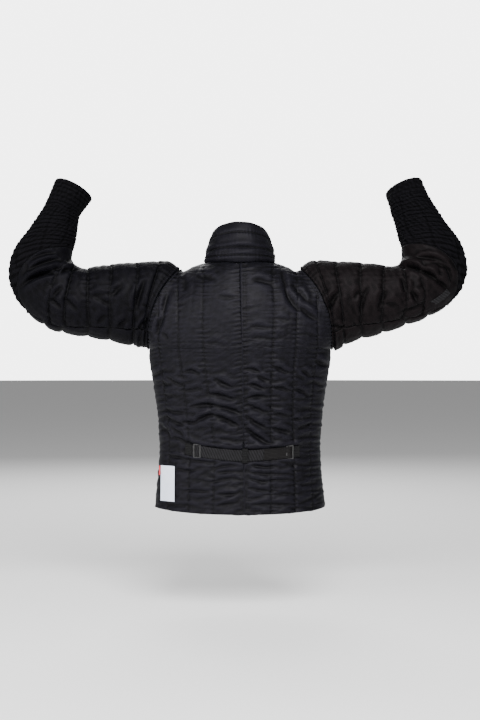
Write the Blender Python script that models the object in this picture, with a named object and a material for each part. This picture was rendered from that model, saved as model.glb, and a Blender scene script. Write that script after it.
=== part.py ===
"""Padded fencing jacket, filled out with its arms raised.

Metres, +Z up. The jacket's front faces -Y, the wearer's left is +X, and the
origin is the middle of the neck opening. The outer skin is worked out once as
a set of panels whose seam points coincide. Each panel then gets its wall, with
the seam between two panels left open by SEAM_GAP.
"""

import math

import bmesh
import bpy
import numpy as np
from mathutils import Vector
from mathutils.kdtree import KDTree

# ---- cloth ----
SEAM_GAP = 0.0003
SAME_POINT = 0.00001
SLOPE_STEP = 0.0001
HALVINGS = 30
BODY_WALL = 0.0050
COLLAR_WALL = 0.0050
TRIM_CLEARANCE = 0.0020
LAYER_CLEARANCE = 0.0008

# ---- neck and collar ----
NECK_HALF_WIDTH = 0.089
NECK_MIDDLE_Y = -0.012
NECK_HALF_DEPTH = 0.078
NECK_SIDE_Z = 0.004
NECK_BACK_DROP = 0.006
NECK_FRONT_DROP = 0.074
COLLAR_TOP_SIDE_Z = 0.062
COLLAR_TOP_TILT = 0.047
COLLAR_RIM_FLATNESS = 0.75
COLLAR_TABLE = {
    "height": (0.00, 0.14, 0.35, 0.60, 0.84, 1.00),
    "half_width": (0.089, 0.094, 0.092, 0.089, 0.084, 0.077),
    "half_depth": (0.078, 0.082, 0.080, 0.077, 0.073, 0.067),
    "middle_y": (-0.012, -0.012, -0.014, -0.018, -0.023, -0.027),
}

# ---- shoulder and armhole ----
SHOULDER_TABLE = {
    "along": (0.00, 0.45, 0.82, 1.00),
    "x": (0.089, 0.125, 0.151, 0.163),
    "y": (-0.012, -0.008, -0.004, -0.002),
    "z": (0.004, -0.009, -0.0205, -0.0145),
}
ARMHOLE_TOP = (0.163, -0.002, -0.0145)
ARMHOLE_BOTTOM = (0.245, -0.010, -0.228)
ARMHOLE_HALF_DEPTH = 0.075
ARMHOLE_LEAN = 2.5

# ---- body, one row for each level ----
BODY_TABLE = {
    "drop": (0.228, 0.313, 0.394, 0.475, 0.515, 0.583, 0.655),
    "half_width": (0.245, 0.229, 0.217, 0.211, 0.211, 0.216, 0.2235),
    "back_y": (0.122, 0.116, 0.106, 0.098, 0.098, 0.107, 0.117),
    "front_y": (-0.128, -0.131, -0.129, -0.124, -0.122, -0.122, -0.125),
}
SIDE_SEAM_Y = -0.010
BODY_SQUARENESS = 2.3
HEM_CENTRE_DROP = 0.009
BACK_SEAM_SHIFT_TOP = -0.004
BACK_SEAM_SHIFT_HEM = -0.012

# ---- sleeves, one row for each section from the armhole to the cuff ----
# inner is the top of the arm and the crook of the elbow, outer is the far edge
SLEEVE_TABLES = {
    "left": {
        "row": tuple(range(13)),
        "inner_x": (
            0.163, 0.196, 0.250, 0.330, 0.390, 0.424, 0.449,
            0.456, 0.452, 0.446, 0.444, 0.441, 0.411,
        ),
        "inner_z": (
            -0.015, 0.007, 0.005, 0.000, -0.008, -0.013, 0.002,
            0.020, 0.047, 0.085, 0.118, 0.143, 0.190,
        ),
        "outer_x": (
            0.245, 0.270, 0.308, 0.385, 0.455, 0.518, 0.592,
            0.624, 0.614, 0.580, 0.551, 0.533, 0.511,
        ),
        "outer_z": (
            -0.228, -0.222, -0.215, -0.199, -0.188, -0.170, -0.110,
            -0.040, 0.030, 0.085, 0.130, 0.170, 0.234,
        ),
        "middle_y": (
            -0.006, -0.003, 0.000, 0.002, 0.004, 0.004, 0.002,
            -0.006, -0.016, -0.034, -0.050, -0.068, -0.092,
        ),
        "half_depth": (
            0.075, 0.076, 0.076, 0.073, 0.070, 0.068, 0.067,
            0.066, 0.063, 0.058, 0.054, 0.050, 0.052,
        ),
        "lean": (0.0, 0.0, 0.0, 0.0, 0.0, 2.0, 6.0, 12.0, 16.0, 19.0, 20.0, 20.0, 20.0),
    },
    "right": {
        "row": tuple(range(13)),
        "inner_x": (
            0.163, 0.192, 0.245, 0.324, 0.385, 0.414, 0.433,
            0.438, 0.437, 0.430, 0.421, 0.411, 0.404,
        ),
        "inner_z": (
            -0.015, 0.008, 0.007, 0.003, -0.004, -0.008, 0.003,
            0.022, 0.055, 0.088, 0.127, 0.170, 0.201,
        ),
        "outer_x": (
            0.245, 0.264, 0.306, 0.378, 0.448, 0.508, 0.580,
            0.613, 0.600, 0.573, 0.543, 0.518, 0.502,
        ),
        "outer_z": (
            -0.228, -0.228, -0.206, -0.187, -0.163, -0.140, -0.092,
            -0.022, 0.048, 0.093, 0.140, 0.190, 0.236,
        ),
        "middle_y": (
            -0.006, -0.003, 0.000, 0.002, 0.004, 0.004, 0.002,
            -0.006, -0.016, -0.034, -0.050, -0.070, -0.092,
        ),
        "half_depth": (
            0.075, 0.076, 0.076, 0.073, 0.070, 0.068, 0.067,
            0.066, 0.063, 0.058, 0.054, 0.050, 0.048,
        ),
        "lean": (0.0, 0.0, 0.0, 0.0, 0.0, 2.0, 6.0, 12.0, 16.0, 19.0, 20.0, 20.0, 20.0),
    },
}
UNDER_PANEL_END = 5.7
FOREARM_EDGE_CROOK = 7.7
FOREARM_EDGE_SHARPNESS = 3.5
ARMHOLE_REACH = 4.0
CUFF_START = 11.0
CUFF_END = 12.0
UNDER_HALF_TURN = 0.15
UNDER_HALF_TURN_ELBOW = 0.05

# ---- mesh steps ----
NECK_STEPS = 4
SHOULDER_STEPS = 4
NECK_SHARE = 0.35
CHEST_SPREAD = 1.2
NECK_CORNER_SPREAD = 0.065
YOKE_ROUNDNESS = 0.60
ARMHOLE_FADE = 3.0
ARMHOLE_STEPS = 10
UNDER_STEPS = 3
BODY_STEPS = 9
COLLAR_STEPS = 5
UPPER_SLEEVE_STEPS = 11
FOREARM_STEPS = 7
CUFF_STEPS = 2

SPLIT_DIRECTION = Vector((0.31, 0.57, 0.76))

# ---- front closure ----
FLAP_WIDTH = 0.058
FLAP_WALL = 0.0030
FLAP_TOP = 0.08
FLAP_BOTTOM = 1.985
FLAP_STEPS = (3, 14)
COLLAR_TAB_HALF_ANGLE = 0.42
COLLAR_TAB_HEIGHT = (0.22, 0.80)

# ---- waist strap, label and elbow loop ----
STRAP_WIDTH = 0.030
STRAP_WALL = 0.0020
STRAP_TABLE = {
    "x": (-0.160, -0.080, -0.012, 0.060, 0.146),
    "z": (-0.500, -0.507, -0.511, -0.506, -0.494),
}
STRAP_SPANS = {
    "strap_anchor_left": (0.1270, 0.1450),
    "waist_strap": (-0.0630, 0.1267),
    "strap_tail": (-0.1400, -0.0633),
    "strap_anchor_right": (-0.1580, -0.1403),
}
STRAP_STEP = 0.016
STRAP_LOOP_SPAN = (-0.020, -0.006)
STRAP_LOOP_OVERHANG = 0.004
BUCKLE_CENTRES = {"buckle_left": 0.1130, "buckle_right": -0.1310}
BUCKLE_SIZE = (0.0200, 0.0380, 0.0028)
BUCKLE_SLOT = (0.0055, 0.0310)
BUCKLE_BAR = 0.0030
LABEL_X = (0.172, 0.210)
LABEL_Z = (-0.634, -0.541)
LABEL_WALL = 0.0012
RED_TAB_X = (0.2112, 0.2155)
RED_TAB_Z = (-0.566, -0.542)
ELBOW_LOOP_ALONG = (5.25, 5.95)
ELBOW_LOOP_TURN = (0.352, 0.388)

# ---- finishes ----
FINISHES = {
    "satin_cloth": ((0.012, 0.012, 0.016), 0.50, 0.0),
    "ribbed_cloth": ((0.008, 0.008, 0.009), 0.85, 0.0),
    "webbing": ((0.030, 0.030, 0.034), 0.70, 0.0),
    "buckle_plastic": ((0.010, 0.010, 0.011), 0.40, 0.0),
    "label_cloth": ((0.640, 0.700, 0.860), 0.80, 0.0),
    "red_cloth": ((0.550, 0.030, 0.040), 0.80, 0.0),
}

SIDES = {"left": 1.0, "right": -1.0}


def table_value(table, key, column, where):
    """Read a column of a table at a place between its rows, along a smooth curve."""
    places = table[key]
    values = table[column]
    last = len(places) - 1
    row = min(max(np.searchsorted(places, where, side="right") - 1, 0), last - 1)

    def slope(index):
        before = max(index - 1, 0)
        after = min(index + 1, last)
        return (values[after] - values[before]) / (places[after] - places[before])

    step = places[row + 1] - places[row]
    part = (where - places[row]) / step
    return (
        values[row] * (2 * part**3 - 3 * part**2 + 1)
        + slope(row) * step * (part**3 - 2 * part**2 + part)
        + values[row + 1] * (3 * part**2 - 2 * part**3)
        + slope(row + 1) * step * (part**3 - part**2)
    )


# ---- the skin's shape; body functions give the wearer's left and are mirrored for the right ----


def neck_point(angle):
    """Neck seam: angle 0 is the middle of the back, pi the middle of the front."""
    if math.cos(angle) >= 0:
        height = NECK_SIDE_Z - NECK_BACK_DROP * math.cos(angle)
    else:
        height = NECK_SIDE_Z - NECK_FRONT_DROP * math.cos(angle) ** 2
    return np.array((
        NECK_HALF_WIDTH * math.sin(angle),
        NECK_MIDDLE_Y + NECK_HALF_DEPTH * math.cos(angle),
        height,
    ))


def shoulder_point(along):
    """Shoulder seam from the neck to the armhole."""
    return np.array([table_value(SHOULDER_TABLE, "along", axis, along) for axis in "xyz"])


def armhole_point(turn):
    """Armhole seam: turn 0 is the shoulder, 0.25 the back, 0.5 the armpit, 0.75 the front."""
    rise = (1 + math.cos(2 * math.pi * turn)) / 2
    top = np.array(ARMHOLE_TOP)
    bottom = np.array(ARMHOLE_BOTTOM)
    point = bottom + (top - bottom) * rise
    point[0] = bottom[0] + (top[0] - bottom[0]) * rise**ARMHOLE_LEAN
    point[1] += ARMHOLE_HALF_DEPTH * math.sin(2 * math.pi * turn)
    return point


def body_point(drop, angle):
    """Body section below the neck: angle 0 is the middle of the back, pi of the front."""
    half_width = table_value(BODY_TABLE, "drop", "half_width", drop)
    side = "back_y" if angle <= math.pi / 2 else "front_y"
    reach = table_value(BODY_TABLE, "drop", side, drop)
    power = 2 / BODY_SQUARENESS
    across = half_width * abs(math.sin(angle)) ** power
    depth = SIDE_SEAM_Y + (reach - SIDE_SEAM_Y) * abs(math.cos(angle)) ** power
    return np.array((across, depth, -drop))


def yoke_point(face, across, down):
    """Blend the neck, shoulder, armhole and middle seams over the part above the chest."""
    middle_angle = 0.0 if face == "back" else math.pi
    if across <= NECK_SHARE:
        turn = across / NECK_SHARE * math.pi / 2
        top = neck_point(abs(middle_angle - turn))
    else:
        top = shoulder_point((across - NECK_SHARE) / (1 - NECK_SHARE))
    chest = body_point(BODY_TABLE["drop"][0], chest_angle(face, across))
    sink = (1 - math.cos(math.pi * down)) / 2
    fullness = (1 - (1 - sink) ** 2) ** YOKE_ROUNDNESS
    share = np.array((sink, fullness, sink))
    side = armhole_point(down / 2 if face == "back" else 1 - down / 2)
    straight_side = np.array(ARMHOLE_TOP) * (1 - share) + np.array(ARMHOLE_BOTTOM) * share
    near_corner = min(across / NECK_SHARE, (1 - across) / (1 - NECK_SHARE))
    spread = NECK_CORNER_SPREAD * (1 - sink) * math.sin(math.pi / 2 * down) * near_corner
    return (
        top * (1 - share)
        + chest * share
        + (side - straight_side) * across**ARMHOLE_FADE
        + np.array((spread, 0.0, 0.0))
    )


def chest_angle(face, across):
    """Angle round the body of a place across a panel, at the chest and below."""
    turn = across**CHEST_SPREAD * math.pi / 2
    return turn if face == "back" else math.pi - turn


def panel_point(face, sign, across, down):
    """Body panel: across 0 is its middle edge, 1 its side; down 0 is the top, 1 the chest, 2 the hem."""
    chest_drop = BODY_TABLE["drop"][0]
    hem_drop = BODY_TABLE["drop"][-1]
    if down >= 1:
        angle = chest_angle(face, across)
        point = body_point(chest_drop + (hem_drop - chest_drop) * (down - 1), angle)
        point[2] -= HEM_CENTRE_DROP * (down - 1) * math.cos(angle) ** 2
    else:
        point = yoke_point(face, across, down)
    point[0] *= sign
    if face == "back":
        fall = min(max(-point[2] / hem_drop, 0.0), 1.0)
        shift = BACK_SEAM_SHIFT_TOP + (BACK_SEAM_SHIFT_HEM - BACK_SEAM_SHIFT_TOP) * fall
        point[0] += shift * min(down, 1.0) * (1 - across) ** 2
    return point


def sleeve_oval(side, along, turn):
    """Plain oval section of a sleeve; its inner and outer ends and its depth come from the table."""
    table = SLEEVE_TABLES[side]
    inner_x, inner_z, outer_x, outer_z, middle_y, half_depth, lean = (
        table_value(table, "row", column, along)
        for column in ("inner_x", "inner_z", "outer_x", "outer_z", "middle_y", "half_depth", "lean")
    )
    inner = np.array((inner_x, middle_y, inner_z))
    outer = np.array((outer_x, middle_y, outer_z))
    tilt = math.radians(lean)
    toward_back = np.array((0.0, math.cos(tilt), math.sin(tilt))) * half_depth
    angle = 2 * math.pi * turn
    return (inner + outer) / 2 + (inner - outer) / 2 * math.cos(angle) + toward_back * math.sin(angle)


def sleeve_point(side, along, turn):
    """Sleeve section: turn 0 is the top or crook, 0.25 the back, 0.5 the far edge, 0.75 the front."""
    point = sleeve_oval(side, along, turn)
    if along < ARMHOLE_REACH:
        share = (1 - along / ARMHOLE_REACH) ** 2
        point = point + (armhole_point(turn) - sleeve_oval(side, 0.0, turn)) * share
    point[0] *= SIDES[side]
    return point


def under_half_turn(along):
    """Half the turn that the strip under the arm takes; it narrows down to the elbow."""
    part = min(along / UNDER_PANEL_END, 1.0)
    return UNDER_HALF_TURN + (UNDER_HALF_TURN_ELBOW - UNDER_HALF_TURN) * part**2


def forearm_edge(part):
    """Where the forearm piece begins: part 0 is the crook of the elbow, 1 the edge of the under strip."""
    return UNDER_PANEL_END + (FOREARM_EDGE_CROOK - UNDER_PANEL_END) * (1 - part**FOREARM_EDGE_SHARPNESS)


def collar_point(height, angle):
    """Collar: height 0 is the neck seam, 1 the rim; angle 0 is the middle of the back."""
    base = neck_point(angle)[2]
    tilt = math.copysign(abs(math.cos(angle)) ** COLLAR_RIM_FLATNESS, math.cos(angle))
    rim = COLLAR_TOP_SIDE_Z + COLLAR_TOP_TILT * tilt
    half_width, half_depth, middle_y = (
        table_value(COLLAR_TABLE, "height", column, height)
        for column in ("half_width", "half_depth", "middle_y")
    )
    return np.array((
        half_width * math.sin(angle),
        middle_y + half_depth * math.cos(angle),
        base + (rim - base) * height,
    ))


# ---- the panels, as grids of points ----


def across_steps():
    """Places across a body panel: the neck's share first, then the shoulder's."""
    neck = [NECK_SHARE * step / NECK_STEPS for step in range(NECK_STEPS)]
    shoulder = [NECK_SHARE + (1 - NECK_SHARE) * step / SHOULDER_STEPS for step in range(SHOULDER_STEPS + 1)]
    return neck + shoulder


def down_steps():
    """Places down a body panel: the armhole's height first, then the rest to the hem."""
    yoke = [step / ARMHOLE_STEPS for step in range(ARMHOLE_STEPS)]
    return yoke + [1 + step / BODY_STEPS for step in range(BODY_STEPS + 1)]


def body_grid(face, sign):
    return np.array([
        [panel_point(face, sign, across, down) for across in across_steps()]
        for down in down_steps()
    ])


def sleeve_column(column, along):
    """Turn of a column of points round a sleeve, and how far it is from the crook to the under strip."""
    steps = ARMHOLE_STEPS - UNDER_STEPS
    half = under_half_turn(along)
    from_crook = min(column, 2 * ARMHOLE_STEPS - column)
    if from_crook <= steps:
        turn = (0.5 - half) * from_crook / steps
    else:
        turn = 0.5 - half + half * (from_crook - steps) / UNDER_STEPS
    if column > ARMHOLE_STEPS:
        turn = 1 - turn
    return turn, min(from_crook, steps) / steps


def sleeve_grid(side, columns, steps, span):
    """Rows of sleeve points; span gives a column's first and last section from its edge section."""
    rows = []
    for step in range(steps + 1):
        row = []
        for column in columns:
            start, end = span(forearm_edge(sleeve_column(column, 0.0)[1]))
            along = start + (end - start) * step / steps
            turn = sleeve_column(column, along)[0]
            row.append(sleeve_point(side, along, turn))
        rows.append(row)
    return np.array(rows)


def collar_grid():
    turns = 4 * NECK_STEPS
    return np.array([
        [collar_point(step / COLLAR_STEPS, math.pi + 2 * math.pi * turn / turns) for turn in range(turns + 1)]
        for step in range(COLLAR_STEPS + 1)
    ])


def build_skin():
    """Every panel of the outer skin as a grid, and whether the grid's own faces look inward."""
    around = 2 * ARMHOLE_STEPS
    under_first = ARMHOLE_STEPS - UNDER_STEPS
    under_last = ARMHOLE_STEPS + UNDER_STEPS
    over = list(range(under_last - around, 0)) + list(range(under_first + 1))
    sleeve_parts = {
        "sleeve": ([column % around for column in over], UPPER_SLEEVE_STEPS, lambda edge: (0.0, edge)),
        "under_strip": (
            range(under_first, under_last + 1), UPPER_SLEEVE_STEPS, lambda edge: (0.0, edge),
        ),
        "forearm": (range(around + 1), FOREARM_STEPS, lambda edge: (edge, CUFF_START)),
        "cuff": (range(around + 1), CUFF_STEPS, lambda edge: (CUFF_START, CUFF_END)),
    }
    skin = {}
    for side, sign in SIDES.items():
        for face in ("back", "front"):
            inward = (sign > 0) == (face == "front")
            skin[f"{face}_{side}"] = (body_grid(face, sign), inward)
        for part, (columns, steps, span) in sleeve_parts.items():
            skin[f"{part}_{side}"] = (sleeve_grid(side, columns, steps, span), sign > 0)
    skin["collar"] = (collar_grid(), True)
    return skin


def shared_normals(skin):
    """Outward direction at each point, averaged over all the panels that meet there."""
    points = np.concatenate([grid.reshape(-1, 3) for grid, _ in skin.values()])
    totals = []
    for grid, inward in skin.values():
        across = grid[1:, 1:] - grid[:-1, :-1]
        along = grid[:-1, 1:] - grid[1:, :-1]
        faces = np.cross(along, across) * (-1.0 if inward else 1.0)
        total = np.zeros_like(grid)
        for rows, columns in ((slice(-1), slice(-1)), (slice(1, None), slice(-1)),
                              (slice(-1), slice(1, None)), (slice(1, None), slice(1, None))):
            total[rows, columns] += faces
        totals.append(total.reshape(-1, 3))
    totals = np.concatenate(totals)
    tree = KDTree(len(points))
    for index, point in enumerate(points):
        tree.insert(point, index)
    tree.balance()
    normals = {}
    for name, (grid, _) in skin.items():
        found = np.array([
            sum(totals[index] for _, index, _ in tree.find_range(point, SAME_POINT))
            for point in grid.reshape(-1, 3)
        ])
        normals[name] = (found / np.linalg.norm(found, axis=1, keepdims=True)).reshape(grid.shape)
    return normals


def open_seams(grid):
    """Draw a panel's four edges in by half the seam gap."""
    inset = grid.copy()
    for axis in (0, 1):
        rows = np.swapaxes(inset, 0, axis)
        for edge, inside in ((0, 1), (-1, -2)):
            step = rows[inside] - rows[edge]
            rows[edge] += step / np.linalg.norm(step, axis=1, keepdims=True) * SEAM_GAP / 2
    return inset


# ---- making the solids ----


def make_finish(name):
    color, roughness, metallic = FINISHES[name]
    material = bpy.data.materials.new(name)
    material.use_nodes = True
    shader = material.node_tree.nodes["Principled BSDF"]
    shader.inputs["Base Color"].default_value = (*color, 1.0)
    shader.inputs["Roughness"].default_value = roughness
    shader.inputs["Metallic"].default_value = metallic
    return material


def add_object(name, bm, collection, finish):
    mesh = bpy.data.meshes.new(name)
    bm.to_mesh(mesh)
    bm.free()
    mesh.shade_smooth()
    mesh.set_sharp_from_angle(angle=math.radians(40))
    mesh.materials.append(finish)
    solid = bpy.data.objects.new(name, mesh)
    collection.objects.link(solid)
    return solid


def add_wall(name, outer, inner, collection, finish):
    """A sheet of cloth: a grid laid on the outer points, extruded back to the inner points."""
    rows, columns = outer.shape[0] - 1, outer.shape[1] - 1
    bm = bmesh.new()
    laid = bmesh.ops.create_grid(bm, x_segments=columns, y_segments=rows, size=0.5)["verts"]
    place = {}
    for vert in laid:
        place[vert] = (round((vert.co.y + 0.5) * rows), round((vert.co.x + 0.5) * columns))
    for vert in laid:
        vert.co = outer[place[vert]]
    inner_places = {tuple(vert.co): place[vert] for vert in laid}
    raised = bmesh.ops.extrude_face_region(bm, geom=bm.faces[:])["geom"]
    inner_verts = {item for item in raised if isinstance(item, bmesh.types.BMVert)}
    for vert in inner_verts:
        vert.co = inner[inner_places[tuple(vert.co)]]
    split_edge_walls(bm, inner_verts)
    bmesh.ops.recalc_face_normals(bm, faces=bm.faces[:])
    return add_object(name, bm, collection, finish)


def split_edge_walls(bm, inner_verts):
    """Cut each wall along a seam the same way on both pieces, so that they stay apart."""
    for face in list(bm.faces):
        outer = [vert for vert in face.verts if vert not in inner_verts]
        if len(face.verts) != 4 or len(outer) != 2:
            continue
        first = max(outer, key=lambda vert: vert.co.dot(SPLIT_DIRECTION))
        position = list(face.verts).index(first)
        bmesh.utils.face_split(face, first, face.verts[(position + 2) % 4])


def add_panel(name, grid, normals, wall, collection, finish):
    outer = open_seams(grid)
    return add_wall(name, outer, outer - normals * wall, collection, finish)


def add_trim(name, place, normal_at, spans, steps, wall, collection, finish):
    """A strip that lies on a panel, made from the panel's own points moved out."""
    (left, right), (low, high) = spans
    rows = np.linspace(low, high, steps[1] + 1)
    columns = np.linspace(left, right, steps[0] + 1)
    points = np.array([[place(column, row) for column in columns] for row in rows])
    outward = np.array([[normal_at(column, row) for column in columns] for row in rows])
    inner = points + outward * TRIM_CLEARANCE
    return add_wall(name, inner + outward * wall, inner, collection, finish)


def surface_normal(place, first, second, toward):
    """Unit direction square to a surface at a place, on the side of the direction given."""
    along = place(first + SLOPE_STEP, second) - place(first - SLOPE_STEP, second)
    across = place(first, second + SLOPE_STEP) - place(first, second - SLOPE_STEP)
    normal = np.cross(along, across)
    normal /= np.linalg.norm(normal)
    return normal if np.dot(normal, toward) > 0 else -normal


def panel_at(face, x, down):
    """Point of the body at a place across, on whichever side of the middle seam it lies."""
    middle = panel_point(face, 1.0, 0.0, down)[0]
    sign = 1.0 if x >= middle else -1.0
    low, high = 0.0, 1.0
    for _ in range(HALVINGS):
        across = (low + high) / 2
        if sign * (panel_point(face, sign, across, down)[0] - x) > 0:
            high = across
        else:
            low = across
    point = panel_point(face, sign, low, down)
    return np.array((x, point[1], point[2]))


def back_surface(x, z):
    """Point of the back, below the chest, at a place across and up."""
    chest_drop = BODY_TABLE["drop"][0]
    hem_drop = BODY_TABLE["drop"][-1]
    point = panel_at("back", x, 1 + (-z - chest_drop) / (hem_drop - chest_drop))
    return np.array((x, point[1], z))


def strap_middle(x):
    return table_value(STRAP_TABLE, "x", "z", x)


def strap_surface(x, rise):
    return back_surface(x, strap_middle(x) + rise)


def back_normal(place):
    return lambda x, z: surface_normal(place, x, z, np.array((0.0, 1.0, 0.0)))


def add_strap(collection, finishes):
    """Waist strap across the back, its anchors, centre loop and two slide buckles."""
    half = STRAP_WIDTH / 2
    normal = back_normal(strap_surface)
    for name, span in STRAP_SPANS.items():
        steps = (max(2, round((span[1] - span[0]) / STRAP_STEP)), 1)
        add_trim(name, strap_surface, normal, (span, (-half, half)), steps, STRAP_WALL, collection,
                 finishes["webbing"])

    def over_strap(x, rise):
        return strap_surface(x, rise) + normal(x, rise) * (STRAP_WALL + LAYER_CLEARANCE)

    reach = half + STRAP_LOOP_OVERHANG
    add_trim("strap_loop", over_strap, normal, (STRAP_LOOP_SPAN, (-reach, reach)), (2, 2), STRAP_WALL,
             collection, finishes["webbing"])
    for name, x in BUCKLE_CENTRES.items():
        add_buckle(name, x, over_strap, normal, collection, finishes["buckle_plastic"])


def add_buckle(name, x, place, normal_at, collection, finish):
    """Slide buckle: a plate with two slots, left by a middle bar, lying on the strap."""
    width, height, thickness = BUCKLE_SIZE
    slot_width, slot_height = BUCKLE_SLOT
    outward = normal_at(x, 0.0)
    centre = place(x, 0.0) + outward * (2 * TRIM_CLEARANCE + thickness / 2)
    bm = bmesh.new()
    xs = (-width / 2, -slot_width - BUCKLE_BAR / 2, -BUCKLE_BAR / 2, BUCKLE_BAR / 2,
          slot_width + BUCKLE_BAR / 2, width / 2)
    zs = (-height / 2, -slot_height / 2, slot_height / 2, height / 2)
    grid = bmesh.ops.create_grid(bm, x_segments=len(xs) - 1, y_segments=len(zs) - 1, size=0.5)["verts"]
    for vert in grid:
        column = round((vert.co.x + 0.5) * (len(xs) - 1))
        row = round((vert.co.y + 0.5) * (len(zs) - 1))
        vert.co = (xs[column], 0.0, zs[row])
    slots = [
        face for face in bm.faces
        if abs(face.calc_center_median().z) < slot_height / 2
        and BUCKLE_BAR / 2 < abs(face.calc_center_median().x) < slot_width + BUCKLE_BAR / 2
    ]
    bmesh.ops.delete(bm, geom=slots, context="FACES")
    raised = bmesh.ops.extrude_face_region(bm, geom=bm.faces[:])["geom"]
    for item in raised:
        if isinstance(item, bmesh.types.BMVert):
            item.co.y = -thickness
    heading = math.atan2(-outward[0], outward[1])
    for vert in bm.verts:
        x_in, y_in = vert.co.x, vert.co.y + thickness / 2
        vert.co.x = centre[0] + x_in * math.cos(heading) - y_in * math.sin(heading)
        vert.co.y = centre[1] + x_in * math.sin(heading) + y_in * math.cos(heading)
        vert.co.z += centre[2]
    bmesh.ops.recalc_face_normals(bm, faces=bm.faces[:])
    return add_object(name, bm, collection, finish)


def add_labels(collection, finishes):
    """White label on the side of the back, with the small red tab beyond its edge."""
    normal = back_normal(back_surface)
    add_trim("side_label", back_surface, normal, (LABEL_X, LABEL_Z), (5, 5), LABEL_WALL, collection,
             finishes["label_cloth"])
    add_trim("red_tab", back_surface, normal, (RED_TAB_X, RED_TAB_Z), (1, 2), LABEL_WALL, collection,
             finishes["red_cloth"])


def add_elbow_loop(collection, finishes):
    """Short webbing loop sewn on the back of the right elbow."""
    def place(along, turn):
        return sleeve_point("right", along, turn)

    def normal(along, turn):
        middle = (place(along, turn) + place(along, turn + 0.5)) / 2
        return surface_normal(place, along, turn, place(along, turn) - middle)

    add_trim("elbow_loop_right", place, normal, (ELBOW_LOOP_ALONG, ELBOW_LOOP_TURN), (6, 2), STRAP_WALL,
             collection, finishes["webbing"])


def add_front_closure(collection, finishes):
    """Flap over the front opening and the tab that closes the collar over it."""
    cloth = finishes["satin_cloth"]

    def front_place(x, down):
        return panel_at("front", x, down)

    def front_normal(x, down):
        return surface_normal(front_place, x, down, np.array((0.0, -1.0, 0.0)))

    half = FLAP_WIDTH / 2
    add_trim("front_flap", front_place, front_normal, ((-half, half), (FLAP_BOTTOM, FLAP_TOP)),
             FLAP_STEPS, FLAP_WALL, collection, cloth)

    def collar_place(angle, height):
        return collar_point(height, math.pi + angle)

    def collar_normal(angle, height):
        return surface_normal(collar_place, angle, height, np.array((-math.sin(angle), -math.cos(angle), 0.0)))

    reach = COLLAR_TAB_HALF_ANGLE
    add_trim("collar_tab", collar_place, collar_normal, ((-reach, reach), COLLAR_TAB_HEIGHT), (6, 3),
             FLAP_WALL, collection, cloth)


def main():
    for item in list(bpy.data.objects):
        bpy.data.objects.remove(item)
    collection = bpy.data.collections.new("fencing_jacket")
    bpy.context.scene.collection.children.link(collection)
    finishes = {name: make_finish(name) for name in FINISHES}
    skin = build_skin()
    normals = shared_normals(skin)
    for name, (grid, _) in skin.items():
        ribbed = name.startswith(("forearm", "cuff"))
        finish = finishes["ribbed_cloth" if ribbed else "satin_cloth"]
        wall = COLLAR_WALL if name == "collar" else BODY_WALL
        add_panel(name, grid, normals[name], wall, collection, finish)
    add_front_closure(collection, finishes)
    add_strap(collection, finishes)
    add_labels(collection, finishes)
    add_elbow_loop(collection, finishes)


main()
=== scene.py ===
import math

import bmesh
import bpy
import numpy as np
from bpy.props import FloatProperty, FloatVectorProperty, PointerProperty
from bpy.types import Operator, Panel, PropertyGroup
from mathutils import Matrix, Vector
from mathutils.bvhtree import BVHTree


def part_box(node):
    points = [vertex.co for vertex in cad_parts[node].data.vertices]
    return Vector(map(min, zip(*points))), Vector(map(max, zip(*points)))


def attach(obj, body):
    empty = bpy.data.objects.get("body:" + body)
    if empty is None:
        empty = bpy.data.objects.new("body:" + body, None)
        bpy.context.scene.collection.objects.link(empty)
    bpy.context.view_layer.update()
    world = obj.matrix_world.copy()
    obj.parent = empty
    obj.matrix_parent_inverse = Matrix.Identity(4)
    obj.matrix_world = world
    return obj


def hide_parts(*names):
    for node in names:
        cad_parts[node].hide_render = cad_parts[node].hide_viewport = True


bl_info = {
    "name": "Fencing Jacket",
    "version": (1, 0, 0),
    "blender": (4, 5, 0),
    "location": "View3D > Sidebar > Fencing Jacket",
    "description": "Sews the padded fencing jacket, its strap and labels, and sets its stage",
    "category": "Object",
}

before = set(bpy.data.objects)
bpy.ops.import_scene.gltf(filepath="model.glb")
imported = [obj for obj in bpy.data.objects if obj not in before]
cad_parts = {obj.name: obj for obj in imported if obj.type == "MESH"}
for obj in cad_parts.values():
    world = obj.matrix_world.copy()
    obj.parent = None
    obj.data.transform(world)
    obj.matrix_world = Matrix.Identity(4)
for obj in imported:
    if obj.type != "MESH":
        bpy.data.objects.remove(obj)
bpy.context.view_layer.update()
BODY = "root"

# ---- shape of the jacket, the same as the solids' ----

NECK_HALF_WIDTH = 0.089
NECK_MIDDLE_Y = -0.012
NECK_HALF_DEPTH = 0.078
NECK_SIDE_Z = 0.004
NECK_BACK_DROP = 0.006
NECK_FRONT_DROP = 0.074
COLLAR_TOP_SIDE_Z = 0.062
COLLAR_TOP_TILT = 0.047
COLLAR_RIM_FLATNESS = 0.75
COLLAR_TABLE = {
    "height": (0.00, 0.14, 0.35, 0.60, 0.84, 1.00),
    "half_width": (0.089, 0.094, 0.092, 0.089, 0.084, 0.077),
    "half_depth": (0.078, 0.082, 0.080, 0.077, 0.073, 0.067),
    "middle_y": (-0.012, -0.012, -0.014, -0.018, -0.023, -0.027),
}
SHOULDER_TABLE = {
    "along": (0.00, 0.45, 0.82, 1.00),
    "x": (0.089, 0.125, 0.151, 0.163),
    "y": (-0.012, -0.008, -0.004, -0.002),
    "z": (0.004, -0.009, -0.0205, -0.0145),
}
ARMHOLE_TOP = (0.163, -0.002, -0.0145)
ARMHOLE_BOTTOM = (0.245, -0.010, -0.228)
ARMHOLE_HALF_DEPTH = 0.075
ARMHOLE_LEAN = 2.5
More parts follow.
